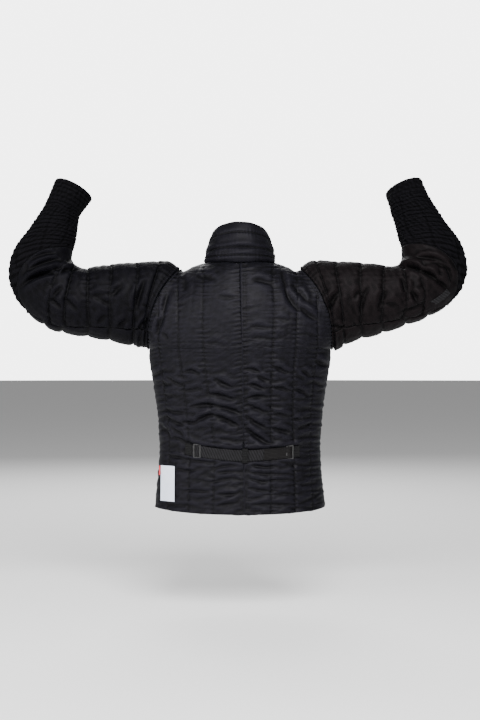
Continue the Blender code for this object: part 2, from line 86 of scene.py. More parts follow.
BODY_TABLE = {
    "drop": (0.228, 0.313, 0.394, 0.475, 0.515, 0.583, 0.655),
    "half_width": (0.245, 0.229, 0.217, 0.211, 0.211, 0.216, 0.2235),
    "back_y": (0.122, 0.116, 0.106, 0.098, 0.098, 0.107, 0.117),
    "front_y": (-0.128, -0.131, -0.129, -0.124, -0.122, -0.122, -0.125),
}
SIDE_SEAM_Y = -0.010
BODY_SQUARENESS = 2.3
HEM_CENTRE_DROP = 0.009
BACK_SEAM_SHIFT_TOP = -0.004
BACK_SEAM_SHIFT_HEM = -0.012
SLEEVE_TABLES = {
    "left": {
        "row": tuple(range(13)),
        "inner_x": (
            0.163, 0.196, 0.250, 0.330, 0.390, 0.424, 0.449,
            0.456, 0.452, 0.446, 0.444, 0.441, 0.411,
        ),
        "inner_z": (
            -0.015, 0.007, 0.005, 0.000, -0.008, -0.013, 0.002,
            0.020, 0.047, 0.085, 0.118, 0.143, 0.190,
        ),
        "outer_x": (
            0.245, 0.270, 0.308, 0.385, 0.455, 0.518, 0.592,
            0.624, 0.614, 0.580, 0.551, 0.533, 0.511,
        ),
        "outer_z": (
            -0.228, -0.222, -0.215, -0.199, -0.188, -0.170, -0.110,
            -0.040, 0.030, 0.085, 0.130, 0.170, 0.234,
        ),
        "middle_y": (
            -0.006, -0.003, 0.000, 0.002, 0.004, 0.004, 0.002,
            -0.006, -0.016, -0.034, -0.050, -0.068, -0.092,
        ),
        "half_depth": (
            0.075, 0.076, 0.076, 0.073, 0.070, 0.068, 0.067,
            0.066, 0.063, 0.058, 0.054, 0.050, 0.052,
        ),
        "lean": (0.0, 0.0, 0.0, 0.0, 0.0, 2.0, 6.0, 12.0, 16.0, 19.0, 20.0, 20.0, 20.0),
    },
    "right": {
        "row": tuple(range(13)),
        "inner_x": (
            0.163, 0.192, 0.245, 0.324, 0.385, 0.414, 0.433,
            0.438, 0.437, 0.430, 0.421, 0.411, 0.404,
        ),
        "inner_z": (
            -0.015, 0.008, 0.007, 0.003, -0.004, -0.008, 0.003,
            0.022, 0.055, 0.088, 0.127, 0.170, 0.201,
        ),
        "outer_x": (
            0.245, 0.264, 0.306, 0.378, 0.448, 0.508, 0.580,
            0.613, 0.600, 0.573, 0.543, 0.518, 0.502,
        ),
        "outer_z": (
            -0.228, -0.228, -0.206, -0.187, -0.163, -0.140, -0.092,
            -0.022, 0.048, 0.093, 0.140, 0.190, 0.236,
        ),
        "middle_y": (
            -0.006, -0.003, 0.000, 0.002, 0.004, 0.004, 0.002,
            -0.006, -0.016, -0.034, -0.050, -0.070, -0.092,
        ),
        "half_depth": (
            0.075, 0.076, 0.076, 0.073, 0.070, 0.068, 0.067,
            0.066, 0.063, 0.058, 0.054, 0.050, 0.048,
        ),
        "lean": (0.0, 0.0, 0.0, 0.0, 0.0, 2.0, 6.0, 12.0, 16.0, 19.0, 20.0, 20.0, 20.0),
    },
}
UNDER_PANEL_END = 5.7
FOREARM_EDGE_CROOK = 7.7
FOREARM_EDGE_SHARPNESS = 3.5
ARMHOLE_REACH = 4.0
CUFF_START = 11.0
CUFF_END = 12.0
UNDER_HALF_TURN = 0.15
UNDER_HALF_TURN_ELBOW = 0.05
NECK_SHARE = 0.35
CHEST_SPREAD = 1.2
NECK_CORNER_SPREAD = 0.065
YOKE_ROUNDNESS = 0.60
ARMHOLE_FADE = 3.0
CHEST_DROP = BODY_TABLE["drop"][0]
HEM_DROP = BODY_TABLE["drop"][-1]
SIDES = {"left": 1.0, "right": -1.0}

# ---- strap, labels and closure, in the solids' places ----

STRAP_WIDTH = 0.030
STRAP_TABLE = {
    "x": (-0.160, -0.080, -0.012, 0.060, 0.146),
    "z": (-0.500, -0.507, -0.511, -0.506, -0.494),
}
STRAP_SPANS = {
    "strap_anchor_left": (0.1270, 0.1450),
    "waist_strap": (-0.0630, 0.1267),
    "strap_tail": (-0.1400, -0.0633),
    "strap_anchor_right": (-0.1580, -0.1403),
}
STRAP_LOOP_SPAN = (-0.020, -0.006)
BUCKLE_CENTRES = {"buckle_left": 0.1130, "buckle_right": -0.1310}
BUCKLE_SIZE = (0.0200, 0.0380, 0.0028)
BUCKLE_SLOT = (0.0055, 0.0310)
BUCKLE_BAR = 0.0030
LABEL_X = (0.172, 0.210)
LABEL_Z = (-0.634, -0.541)
ELBOW_LOOP_ALONG = (5.25, 5.95)
ELBOW_LOOP_TURN = (0.352, 0.388)
FLAP_WIDTH = 0.058
FLAP_TOP = -0.0735
COLLAR_TAB_HALF_ANGLE = 0.42
COLLAR_TAB_HEIGHT = (0.22, 0.80)

# ---- sewn lines: where each vertical quilting line of the body runs, by height ----

BODY_LINES = {
    "back": {
        "left": (
            {"z": (-0.04, -0.20, -0.30, -0.38, -0.48, -0.66),
             "x": (0.098, 0.098, 0.090, 0.078, 0.068, 0.070)},
            {"z": (-0.05, -0.24, -0.33, -0.40, -0.48, -0.66),
             "x": (0.166, 0.161, 0.148, 0.141, 0.133, 0.137)},
            {"z": (-0.22, -0.30, -0.40, -0.48, -0.58, -0.66),
             "x": (0.216, 0.206, 0.193, 0.187, 0.189, 0.194)},
        ),
        "right": (
            {"z": (-0.04, -0.12, -0.25, -0.40, -0.50, -0.66),
             "x": (0.086, 0.091, 0.085, 0.082, 0.082, 0.083)},
            {"z": (-0.10, -0.20, -0.30, -0.40, -0.50, -0.66),
             "x": (0.152, 0.148, 0.141, 0.139, 0.142, 0.147)},
            {"z": (-0.22, -0.30, -0.40, -0.50, -0.58, -0.66),
             "x": (0.205, 0.196, 0.188, 0.186, 0.189, 0.194)},
        ),
    },
    "front": {
        "left": (
            {"z": (-0.06, -0.20, -0.30, -0.40, -0.50, -0.66),
             "x": (0.082, 0.083, 0.080, 0.076, 0.074, 0.076)},
            {"z": (-0.04, -0.20, -0.30, -0.40, -0.50, -0.66),
             "x": (0.142, 0.148, 0.144, 0.138, 0.135, 0.138)},
            {"z": (-0.22, -0.30, -0.40, -0.50, -0.58, -0.66),
             "x": (0.210, 0.200, 0.190, 0.186, 0.188, 0.194)},
        ),
        "right": (
            {"z": (-0.06, -0.20, -0.30, -0.40, -0.50, -0.66),
             "x": (0.084, 0.086, 0.081, 0.078, 0.076, 0.078)},
            {"z": (-0.04, -0.20, -0.30, -0.40, -0.50, -0.66),
             "x": (0.144, 0.149, 0.146, 0.140, 0.137, 0.139)},
            {"z": (-0.22, -0.30, -0.40, -0.50, -0.58, -0.66),
             "x": (0.208, 0.199, 0.190, 0.187, 0.189, 0.195)},
        ),
    },
}

# the slanting quilting lines of the sleeves: where each meets the top of the arm and the under seam
SLEEVE_LINES = {
    "left": {"top": (1.6, 2.5, 3.35, 4.7, 6.0, 6.9), "seam": (0.5, 1.6, 2.6, 3.35, 4.4, 5.15)},
    "right": {"top": (1.4, 2.3, 3.15, 4.3, 6.3, 7.2), "seam": (0.5, 1.5, 2.35, 3.1, 4.0, 5.0)},
}

# ---- main folds: start and end of each trough, its bow, half width and depth ----

FOLD_STRENGTH = 1.3
SLEEVE_FOLD_STRENGTH = 1.3
FOLD_COLUMNS = ("x0", "z0", "x1", "z1", "bow", "width", "depth")
BACK_FOLDS = (
    # above the belt, wearer's left
    (0.227, -0.303, 0.190, -0.283, 0.002, 0.0055, 0.0042),
    (0.146, -0.288, 0.102, -0.299, 0.004, 0.0055, 0.0048),
    (0.194, -0.305, 0.145, -0.328, -0.002, 0.0055, 0.0045),
    (0.070, -0.306, 0.016, -0.333, -0.003, 0.0065, 0.0055),
    (0.084, -0.350, 0.012, -0.366, 0.004, 0.0070, 0.0060),
    (0.146, -0.343, 0.094, -0.337, 0.003, 0.0060, 0.0025),
    (0.138, -0.383, 0.050, -0.381, 0.004, 0.0060, 0.0048),
    (0.060, -0.381, -0.004, -0.401, 0.002, 0.0065, 0.0065),
    (0.158, -0.418, 0.110, -0.424, -0.003, 0.0055, 0.0042),
    (0.120, -0.424, 0.066, -0.403, 0.003, 0.0060, 0.0065),
    (0.074, -0.403, 0.000, -0.436, 0.003, 0.0068, 0.0070),
    (0.203, -0.405, 0.139, -0.437, -0.003, 0.0055, 0.0042),
    (0.186, -0.433, 0.134, -0.467, -0.002, 0.0055, 0.0040),
    (0.178, -0.464, 0.112, -0.484, 0.001, 0.0055, 0.0055),
    (0.058, -0.463, -0.002, -0.472, -0.003, 0.0060, 0.0042),
    (0.064, -0.478, 0.012, -0.487, 0.001, 0.0050, 0.0025),
    (0.206, -0.390, 0.144, -0.400, -0.002, 0.0055, 0.0030),
    (0.212, -0.322, 0.176, -0.326, 0.001, 0.0050, 0.0025),
    (0.211, -0.350, 0.156, -0.355, -0.002, 0.0055, 0.0024),
    (0.090, -0.445, 0.030, -0.452, 0.004, 0.0060, 0.0020),
    (0.210, -0.430, 0.185, -0.470, 0.002, 0.0055, 0.0030),
    # above the belt, wearer's right
    (-0.016, -0.283, -0.055, -0.294, 0.003, 0.0055, 0.0050),
    (-0.045, -0.301, -0.079, -0.313, -0.002, 0.0050, 0.0036),
    (-0.082, -0.272, -0.130, -0.294, -0.002, 0.0055, 0.0045),
    (-0.016, -0.323, -0.065, -0.338, 0.003, 0.0058, 0.0048),
    (-0.086, -0.332, -0.137, -0.342, 0.002, 0.0052, 0.0040),
    (-0.143, -0.335, -0.182, -0.356, 0.002, 0.0052, 0.0042),
    (-0.016, -0.358, -0.079, -0.359, 0.003, 0.0065, 0.0055),
    (-0.014, -0.372, -0.079, -0.398, -0.004, 0.0060, 0.0048),
    (-0.084, -0.396, -0.135, -0.410, -0.001, 0.0055, 0.0040),
    (-0.013, -0.403, -0.077, -0.440, -0.005, 0.0062, 0.0052),
    (-0.084, -0.440, -0.137, -0.449, -0.002, 0.0058, 0.0058),
    (-0.011, -0.433, -0.079, -0.480, -0.004, 0.0062, 0.0064),
    (-0.138, -0.417, -0.166, -0.421, 0.002, 0.0045, 0.0034),
    (-0.150, -0.437, -0.191, -0.428, -0.004, 0.0055, 0.0048),
    (-0.198, -0.258, -0.230, -0.275, -0.003, 0.0070, 0.0070),
    (-0.160, -0.284, -0.184, -0.301, -0.001, 0.0050, 0.0045),
    (-0.144, -0.299, -0.170, -0.309, 0.001, 0.0050, 0.0026),
    (-0.186, -0.318, -0.222, -0.330, 0.002, 0.0050, 0.0026),
    (-0.150, -0.385, -0.205, -0.392, 0.002, 0.0055, 0.0018),
    (-0.150, -0.466, -0.200, -0.460, 0.002, 0.0055, 0.0022),
    # below the belt
    (0.199, -0.511, 0.073, -0.528, -0.002, 0.0045, 0.0034),
    (0.131, -0.523, 0.003, -0.531, -0.001, 0.0042, 0.0028),
    (0.065, -0.541, 0.002, -0.535, 0.001, 0.0045, 0.0040),
    (0.064, -0.556, 0.002, -0.551, 0.001, 0.0040, 0.0026),
    (0.172, -0.545, 0.120, -0.552, -0.002, 0.0045, 0.0028),
    (0.069, -0.577, 0.001, -0.567, 0.001, 0.0042, 0.0024),
    (0.148, -0.574, 0.080, -0.578, 0.001, 0.0045, 0.0016),
    (0.149, -0.603, 0.075, -0.606, 0.001, 0.0042, 0.0028),
    (0.067, -0.611, 0.002, -0.610, -0.001, 0.0042, 0.0034),
    (0.130, -0.624, 0.010, -0.622, 0.001, 0.0045, 0.0014),
    (0.193, -0.641, 0.104, -0.643, -0.001, 0.0045, 0.0024),
    (0.067, -0.642, 0.001, -0.633, 0.001, 0.0045, 0.0034),
    (-0.024, -0.531, -0.083, -0.543, -0.002, 0.0045, 0.0042),
    (-0.080, -0.521, -0.184, -0.538, -0.002, 0.0045, 0.0028),
    (-0.020, -0.554, -0.147, -0.560, -0.002, 0.0042, 0.0036),
    (-0.024, -0.570, -0.076, -0.579, -0.002, 0.0042, 0.0032),
    (-0.072, -0.575, -0.149, -0.576, 0.002, 0.0042, 0.0034),
    (-0.020, -0.595, -0.090, -0.603, -0.001, 0.0042, 0.0026),
    (-0.086, -0.609, -0.160, -0.613, 0.001, 0.0042, 0.0020),
    (-0.026, -0.637, -0.153, -0.638, -0.001, 0.0045, 0.0034),
    (-0.150, -0.638, -0.210, -0.615, -0.003, 0.0045, 0.0030),
    (-0.155, -0.590, -0.205, -0.586, -0.001, 0.0045, 0.0014),
    # yoke and shoulder blades
    (-0.030, -0.047, -0.092, -0.064, 0.004, 0.0070, 0.0046),
    (-0.107, -0.020, -0.121, -0.074, 0.002, 0.0065, 0.0042),
    (-0.117, -0.070, -0.160, -0.134, -0.004, 0.0070, 0.0062),
    (-0.155, -0.116, -0.205, -0.155, -0.003, 0.0070, 0.0062),
    (-0.140, -0.062, -0.176, -0.104, 0.002, 0.0060, 0.0034),
    (0.190, -0.080, 0.203, -0.145, 0.002, 0.0065, 0.0046),
    (0.200, -0.140, 0.222, -0.196, 0.002, 0.0065, 0.0056),
    (0.206, -0.186, 0.190, -0.205, 0.002, 0.0060, 0.0034),
    (0.150, -0.036, 0.146, -0.082, 0.002, 0.0090, 0.0028),
    (0.120, -0.042, 0.060, -0.050, 0.004, 0.0080, 0.0026),
    (0.064, -0.094, 0.010, -0.100, 0.002, 0.0060, 0.0018),
    (-0.024, -0.172, -0.078, -0.176, 0.001, 0.0055, 0.0024),
    (-0.020, -0.201, -0.125, -0.198, -0.002, 0.0060, 0.0020),
    (-0.092, -0.150, -0.128, -0.160, 0.001, 0.0055, 0.0016),
    (0.090, -0.215, 0.030, -0.222, 0.002, 0.0070, 0.0016),
    (-0.150, -0.190, -0.200, -0.196, 0.002, 0.0060, 0.0016),
)
FRONT_FOLDS = (
    (0.205, -0.262, 0.130, -0.292, 0.003, 0.0070, 0.0050),
    (0.215, -0.300, 0.150, -0.325, 0.003, 0.0060, 0.0042),
    (0.140, -0.318, 0.090, -0.336, -0.002, 0.0060, 0.0038),
    (0.080, -0.345, 0.034, -0.356, 0.002, 0.0055, 0.0032),
    (0.205, -0.352, 0.140, -0.366, 0.003, 0.0060, 0.0044),
    (0.130, -0.380, 0.076, -0.396, -0.003, 0.0060, 0.0044),
    (0.200, -0.396, 0.146, -0.404, -0.003, 0.0055, 0.0036),
    (0.078, -0.402, 0.034, -0.416, 0.002, 0.0055, 0.0040),
    (0.196, -0.430, 0.130, -0.446, 0.003, 0.0060, 0.0048),
    (0.128, -0.452, 0.072, -0.470, -0.002, 0.0060, 0.0050),
    (0.072, -0.458, 0.034, -0.464, 0.001, 0.0050, 0.0028),
    (0.192, -0.486, 0.076, -0.500, -0.003, 0.0055, 0.0046),
    (0.130, -0.524, 0.034, -0.530, 0.002, 0.0050, 0.0036),
    (0.196, -0.548, 0.076, -0.560, 0.002, 0.0050, 0.0030),
    (0.120, -0.590, 0.036, -0.594, 0.001, 0.0045, 0.0028),
    (0.190, -0.614, 0.080, -0.618, -0.001, 0.0045, 0.0026),
    (0.190, -0.060, 0.206, -0.130, 0.002, 0.0070, 0.0050),
    (0.176, -0.120, 0.204, -0.185, -0.003, 0.0070, 0.0050),
    (0.150, -0.070, 0.172, -0.120, 0.003, 0.0065, 0.0034),
    (0.120, -0.110, 0.060, -0.150, 0.004, 0.0080, 0.0024),
    (0.140, -0.200, 0.070, -0.214, 0.003, 0.0080, 0.0024),
    (-0.210, -0.256, -0.140, -0.284, 0.003, 0.0068, 0.0050),
    (-0.150, -0.300, -0.088, -0.318, -0.003, 0.0060, 0.0040),
    (-0.208, -0.330, -0.150, -0.340, 0.002, 0.0058, 0.0036),
    (-0.086, -0.330, -0.034, -0.346, 0.003, 0.0055, 0.0036),
    (-0.140, -0.360, -0.082, -0.378, 0.002, 0.0060, 0.0044),
    (-0.200, -0.380, -0.150, -0.396, -0.002, 0.0060, 0.0042),
    (-0.084, -0.390, -0.034, -0.398, -0.002, 0.0055, 0.0036),
    (-0.196, -0.424, -0.124, -0.432, 0.003, 0.0060, 0.0050),
    (-0.124, -0.444, -0.070, -0.462, 0.002, 0.0060, 0.0046),
    (-0.194, -0.470, -0.110, -0.490, -0.004, 0.0058, 0.0048),
    (-0.100, -0.504, -0.034, -0.508, 0.002, 0.0050, 0.0034),
    (-0.190, -0.532, -0.086, -0.544, 0.002, 0.0050, 0.0034),
    (-0.130, -0.574, -0.034, -0.580, 0.001, 0.0046, 0.0028),
    (-0.192, -0.602, -0.086, -0.604, -0.001, 0.0045, 0.0028),
    (-0.186, -0.066, -0.204, -0.136, -0.002, 0.0070, 0.0050),
    (-0.170, -0.124, -0.206, -0.180, 0.003, 0.0070, 0.0048),
    (-0.130, -0.090, -0.076, -0.140, -0.003, 0.0080, 0.0022),
    (-0.134, -0.196, -0.074, -0.206, 0.003, 0.0080, 0.0022),
)
# sleeve folds; face 1 is the back of the arm, -1 its front, 0 both
SLEEVE_FOLD_COLUMNS = ("face", "x0", "z0", "x1", "z1", "bow", "width", "depth")
SLEEVE_FOLDS = {
    "left": (
        # slanting creases, one for each channel of the upper arm
        (0, 0.252, -0.046, 0.274, -0.132, 0.002, 0.0075, 0.0058),
        (0, 0.312, -0.060, 0.338, -0.092, 0.002, 0.0075, 0.0036),
        (0, 0.340, -0.118, 0.386, -0.092, 0.002, 0.0070, 0.0034),
        (0, 0.398, -0.094, 0.344, -0.086, 0.002, 0.0070, 0.0030),
        (0, 0.428, -0.130, 0.470, -0.096, 0.002, 0.0070, 0.0034),
        (0, 0.470, -0.126, 0.506, -0.096, 0.002, 0.0065, 0.0046),
        (0, 0.500, -0.112, 0.470, -0.062, 0.003, 0.0065, 0.0032),
        (0, 0.352, -0.140, 0.380, -0.164, 0.002, 0.0065, 0.0030),
        (0, 0.300, -0.150, 0.330, -0.172, -0.003, 0.0065, 0.0044),
        # gathers by the armpit
        (0, 0.236, -0.128, 0.256, -0.196, 0.003, 0.0055, 0.0050),
        (0, 0.250, -0.150, 0.272, -0.186, 0.002, 0.0048, 0.0044),
        (0, 0.262, -0.172, 0.292, -0.184, -0.002, 0.0045, 0.0040),
        (0, 0.316, -0.166, 0.302, -0.190, 0.001, 0.0048, 0.0042),
        # elbow: folds that fan out from the crook
        (1, 0.462, -0.012, 0.586, -0.066, 0.008, 0.0065, 0.0070),
        (1, 0.478, -0.032, 0.572, -0.052, 0.010, 0.0055, 0.0062),
        (1, 0.480, 0.010, 0.560, -0.026, 0.006, 0.0070, 0.0058),
        (1, 0.492, 0.026, 0.556, 0.004, 0.005, 0.0065, 0.0044),
        (1, 0.436, -0.018, 0.478, -0.030, 0.006, 0.0060, 0.0056),
        (-1, 0.460, -0.008, 0.580, -0.060, 0.009, 0.0070, 0.0064),
        (-1, 0.470, 0.012, 0.566, -0.020, 0.007, 0.0070, 0.0058),
        (-1, 0.440, -0.024, 0.500, -0.050, 0.006, 0.0065, 0.0050),
    ),
    "right": (
        (0, -0.232, -0.140, -0.264, -0.072, 0.004, 0.0075, 0.0060),
        (0, -0.302, -0.102, -0.330, -0.068, 0.003, 0.0080, 0.0032),
        (0, -0.318, -0.136, -0.342, -0.062, 0.004, 0.0070, 0.0048),
        (0, -0.366, -0.134, -0.390, -0.070, 0.004, 0.0075, 0.0040),
        (0, -0.382, -0.110, -0.424, -0.120, 0.002, 0.0080, 0.0030),
        (0, -0.452, -0.076, -0.470, -0.112, 0.003, 0.0080, 0.0058),
        (0, -0.426, -0.040, -0.436, -0.082, 0.003, 0.0065, 0.0050),
        (0, -0.430, -0.134, -0.492, -0.104, -0.002, 0.0065, 0.0040),
        (0, -0.238, -0.168, -0.284, -0.178, 0.002, 0.0050, 0.0044),
        (0, -0.246, -0.184, -0.268, -0.226, 0.002, 0.0048, 0.0046),
        (0, -0.300, -0.156, -0.318, -0.196, 0.002, 0.0042, 0.0040),
        (0, -0.318, -0.160, -0.332, -0.196, 0.001, 0.0042, 0.0036),
        (0, -0.276, -0.170, -0.288, -0.206, 0.001, 0.0048, 0.0048),
        # elbow: the deep crease from the crook and the lesser ones round it
        (1, -0.424, -0.008, -0.486, -0.024, 0.004, 0.0070, 0.0095),
        (1, -0.478, -0.022, -0.522, -0.048, 0.003, 0.0065, 0.0090),
        (1, -0.514, -0.046, -0.552, -0.072, 0.002, 0.0060, 0.0060),
        (1, -0.470, 0.014, -0.556, -0.006, 0.006, 0.0060, 0.0052),
        (1, -0.506, 0.000, -0.562, -0.024, 0.004, 0.0060, 0.0044),
        (1, -0.548, -0.012, -0.560, -0.052, 0.003, 0.0060, 0.0040),
        (-1, -0.424, -0.004, -0.530, -0.040, 0.008, 0.0070, 0.0070),
        (-1, -0.440, 0.014, -0.550, -0.010, 0.007, 0.0065, 0.0056),
        (-1, -0.410, -0.024, -0.470, -0.056, 0.005, 0.0065, 0.0050),
    ),
}

# ---- relief of the quilting ----

CLOTH_WALL = 0.0050
BODY_PUFF = 0.0022
SLEEVE_PUFF = 0.0052
UNDER_PUFF = 0.0046
LINE_WIDTH = 0.0025
LINE_DEPTH = 0.0019
SEAM_FADE = 0.0030
SEAM_DEPTH = 0.0007
BELT_BULGE = 0.0052
BELT_DENT = 0.0016
SEAM_BAND_WIDTH = 0.016
SIDE_FULLNESS = 0.0055
RIB_PITCH = 0.0132
RIB_HEIGHT = 0.0036
COLLAR_LINES = (0.195, 0.39, 0.76)
COLLAR_PUFF = 0.0020
SEED = 41

STITCH_PITCH = 0.0052
STITCH_SIZE = (0.0034, 0.0008, 0.0006)
ARMHOLE_STITCH_INSETS = (0.0040, 0.0115)
HEM_STITCH_INSET = 0.012
SEAM_STITCH_INSET = 0.0035
ELBOW_STITCH_INSET = 0.0040

# rows of a body panel's grid that lie above the chest, of its rows in all
YOKE_ROWS, ALL_ROWS = 9, 24
WEBBING_WALL = 0.0016
LABEL_WALL = 0.0009
COLLAR_TALL = 0.115
COLLAR_RADIUS = 0.067
COLLAR_ROUND = 0.085
FOREARM_ROUND = 0.36
UNDER_SEAM_TURN = 0.36
PUCKER_STRENGTH = 1.4
CREST_RANGE = 0.0026
WAVE_TEXTURE_RATE = 20
# pitch and depth of each weave
SATIN_WEAVE = (0.0011, 0.00025)
RIBBED_WEAVE = (0.0016, 0.00045)

FLOOR_RADIUS = 40.0
FLOOR_COLOUR = (0.92, 0.92, 0.92, 1.0)
BACKDROP_STRENGTH = 5.0
LAMP_TARGET = (0.0, 0.0, -0.22)
# place, size and share of the key light's power
LAMPS = {
    "key": ((-0.4, 3.0, 2.0), 1.9, 0.86),
    "fill": ((2.6, 2.4, 0.6), 2.0, 0.35),
    "front": ((0.4, -3.4, 2.2), 2.4, 0.4),
}


# ---- reading the shape ----


def table_value(table, key, column, where):
    """Read a column of a table at places between its rows, along a smooth curve."""
    places = np.array(table[key], float)
    values = np.array(table[column], float)
    where = np.asarray(where, float)
    last = len(places) - 1
    row = np.clip(np.searchsorted(places, where, side="right") - 1, 0, last - 1)
    before = np.maximum(np.arange(last + 1) - 1, 0)
    after = np.minimum(np.arange(last + 1) + 1, last)
    slopes = (values[after] - values[before]) / (places[after] - places[before])
    step = places[row + 1] - places[row]
    part = (where - places[row]) / step
    return (
        values[row] * (2 * part**3 - 3 * part**2 + 1)
        + slopes[row] * step * (part**3 - 2 * part**2 + part)
        + values[row + 1] * (3 * part**2 - 2 * part**3)
        + slopes[row + 1] * step * (part**3 - part**2)
    )


def joined(*parts):
    return np.stack(np.broadcast_arrays(*parts), axis=-1)


def neck_point(angle):
    """Neck seam: angle 0 is the middle of the back, pi the middle of the front."""
    turn = np.cos(angle)
    height = np.where(turn >= 0, NECK_SIDE_Z - NECK_BACK_DROP * turn,
                      NECK_SIDE_Z - NECK_FRONT_DROP * turn**2)
    return joined(NECK_HALF_WIDTH * np.sin(angle), NECK_MIDDLE_Y + NECK_HALF_DEPTH * turn, height)


def shoulder_point(along):
    return joined(*(table_value(SHOULDER_TABLE, "along", axis, along) for axis in "xyz"))


def armhole_point(turn):
    """Armhole seam: turn 0 is the shoulder, 0.25 the back, 0.5 the armpit, 0.75 the front."""
    rise = (1 + np.cos(2 * np.pi * turn)) / 2
    (top_x, top_y, top_z), (low_x, low_y, low_z) = ARMHOLE_TOP, ARMHOLE_BOTTOM
    return joined(
        low_x + (top_x - low_x) * rise**ARMHOLE_LEAN,
        low_y + (top_y - low_y) * rise + ARMHOLE_HALF_DEPTH * np.sin(2 * np.pi * turn),
        low_z + (top_z - low_z) * rise,
    )


def body_point(drop, angle):
    """Body section below the neck: angle 0 is the middle of the back, pi of the front."""
    half_width = table_value(BODY_TABLE, "drop", "half_width", drop)
    back = table_value(BODY_TABLE, "drop", "back_y", drop)
    front = table_value(BODY_TABLE, "drop", "front_y", drop)
    reach = np.where(angle <= np.pi / 2, back, front)
    power = 2 / BODY_SQUARENESS
    across = half_width * np.abs(np.sin(angle)) ** power
    depth = SIDE_SEAM_Y + (reach - SIDE_SEAM_Y) * np.abs(np.cos(angle)) ** power
    return joined(across, depth, -drop)


def chest_angle(face, across):
    turn = across**CHEST_SPREAD * np.pi / 2
    return turn if face == "back" else np.pi - turn


def yoke_point(face, across, down):
    middle_angle = 0.0 if face == "back" else np.pi
    on_neck = np.minimum(across / NECK_SHARE, 1.0) * np.pi / 2
    on_shoulder = np.clip((across - NECK_SHARE) / (1 - NECK_SHARE), 0.0, 1.0)
    top = np.where((across <= NECK_SHARE)[..., None],
                   neck_point(np.abs(middle_angle - on_neck)), shoulder_point(on_shoulder))
    chest = body_point(np.full_like(across, CHEST_DROP), chest_angle(face, across))
    sink = (1 - np.cos(np.pi * down)) / 2
    fullness = (1 - (1 - sink) ** 2) ** YOKE_ROUNDNESS
    share = joined(sink, fullness, sink)
    side = armhole_point(down / 2 if face == "back" else 1 - down / 2)
    straight_side = np.array(ARMHOLE_TOP) * (1 - share) + np.array(ARMHOLE_BOTTOM) * share
    near_corner = np.minimum(across / NECK_SHARE, (1 - across) / (1 - NECK_SHARE))
    spread = NECK_CORNER_SPREAD * (1 - sink) * np.sin(np.pi / 2 * down) * near_corner
    point = top * (1 - share) + chest * share + (side - straight_side) * (across**ARMHOLE_FADE)[..., None]
    point[..., 0] += spread
    return point


def panel_point(face, sign, across, down):
    """Body panel: across 0 is its middle edge, 1 its side; down 0 is the top, 1 the chest, 2 the hem."""
    across, down = np.broadcast_arrays(np.asarray(across, float), np.asarray(down, float))
    angle = chest_angle(face, across)
    low = np.maximum(down, 1.0) - 1
    body = body_point(CHEST_DROP + (HEM_DROP - CHEST_DROP) * low, angle)
    body[..., 2] -= HEM_CENTRE_DROP * low * np.cos(angle) ** 2
    yoke = yoke_point(face, across, np.minimum(down, 1.0))
    point = np.where((down >= 1)[..., None], body, yoke)
    point[..., 0] *= sign
    if face == "back":
        fall = np.clip(-point[..., 2] / HEM_DROP, 0.0, 1.0)
        shift = BACK_SEAM_SHIFT_TOP + (BACK_SEAM_SHIFT_HEM - BACK_SEAM_SHIFT_TOP) * fall
        point[..., 0] += shift * np.minimum(down, 1.0) * (1 - across) ** 2
    return point


def sleeve_oval(side, along, turn):
    table = SLEEVE_TABLES[side]
    inner_x, inner_z, outer_x, outer_z, middle_y, half_depth, lean = (
        table_value(table, "row", column, along)
        for column in ("inner_x", "inner_z", "outer_x", "outer_z", "middle_y", "half_depth", "lean")
    )
    tilt = np.radians(lean)
    swing, lift = np.cos(2 * np.pi * turn), np.sin(2 * np.pi * turn)
    return joined(
        (inner_x + outer_x) / 2 + (inner_x - outer_x) / 2 * swing,
        middle_y + half_depth * np.cos(tilt) * lift,
        (inner_z + outer_z) / 2 + (inner_z - outer_z) / 2 * swing + half_depth * np.sin(tilt) * lift,
    )


def sleeve_point(side, along, turn):
    """Sleeve section: turn 0 is the top or crook, 0.25 the back, 0.5 the far edge, 0.75 the front."""
    along, turn = np.broadcast_arrays(np.asarray(along, float), np.asarray(turn, float))
    share = np.clip(1 - along / ARMHOLE_REACH, 0.0, 1.0) ** 2
    at_hole = armhole_point(turn) - sleeve_oval(side, np.zeros_like(along), turn)
    point = sleeve_oval(side, along, turn) + at_hole * share[..., None]
    point[..., 0] *= SIDES[side]
    return point


def under_half_turn(along):
    part = np.minimum(along / UNDER_PANEL_END, 1.0)
    return UNDER_HALF_TURN + (UNDER_HALF_TURN_ELBOW - UNDER_HALF_TURN) * part**2


def forearm_edge(part):
    """Where the forearm piece begins: part 0 is the crook of the elbow, 1 the edge of the under strip."""
    return UNDER_PANEL_END + (FOREARM_EDGE_CROOK - UNDER_PANEL_END) * (1 - part**FOREARM_EDGE_SHARPNESS)


def collar_point(height, angle):
    """Collar: height 0 is the neck seam, 1 the rim; angle 0 is the middle of the back."""
    height, angle = np.broadcast_arrays(np.asarray(height, float), np.asarray(angle, float))
    base = neck_point(angle)[..., 2]
    tilt = np.copysign(np.abs(np.cos(angle)) ** COLLAR_RIM_FLATNESS, np.cos(angle))
    rim = COLLAR_TOP_SIDE_Z + COLLAR_TOP_TILT * tilt
    half_width, half_depth, middle_y = (
        table_value(COLLAR_TABLE, "height", column, height)
        for column in ("half_width", "half_depth", "middle_y")
    )
    return joined(half_width * np.sin(angle), middle_y + half_depth * np.cos(angle),
                  base + (rim - base) * height)


# ---- relief ----


def smooth(low, high, value):
    part = np.clip((value - low) / (high - low), 0.0, 1.0)
    return part * part * (3 - 2 * part)


def bump(value, width):
    return np.exp(-((value / width) ** 2))


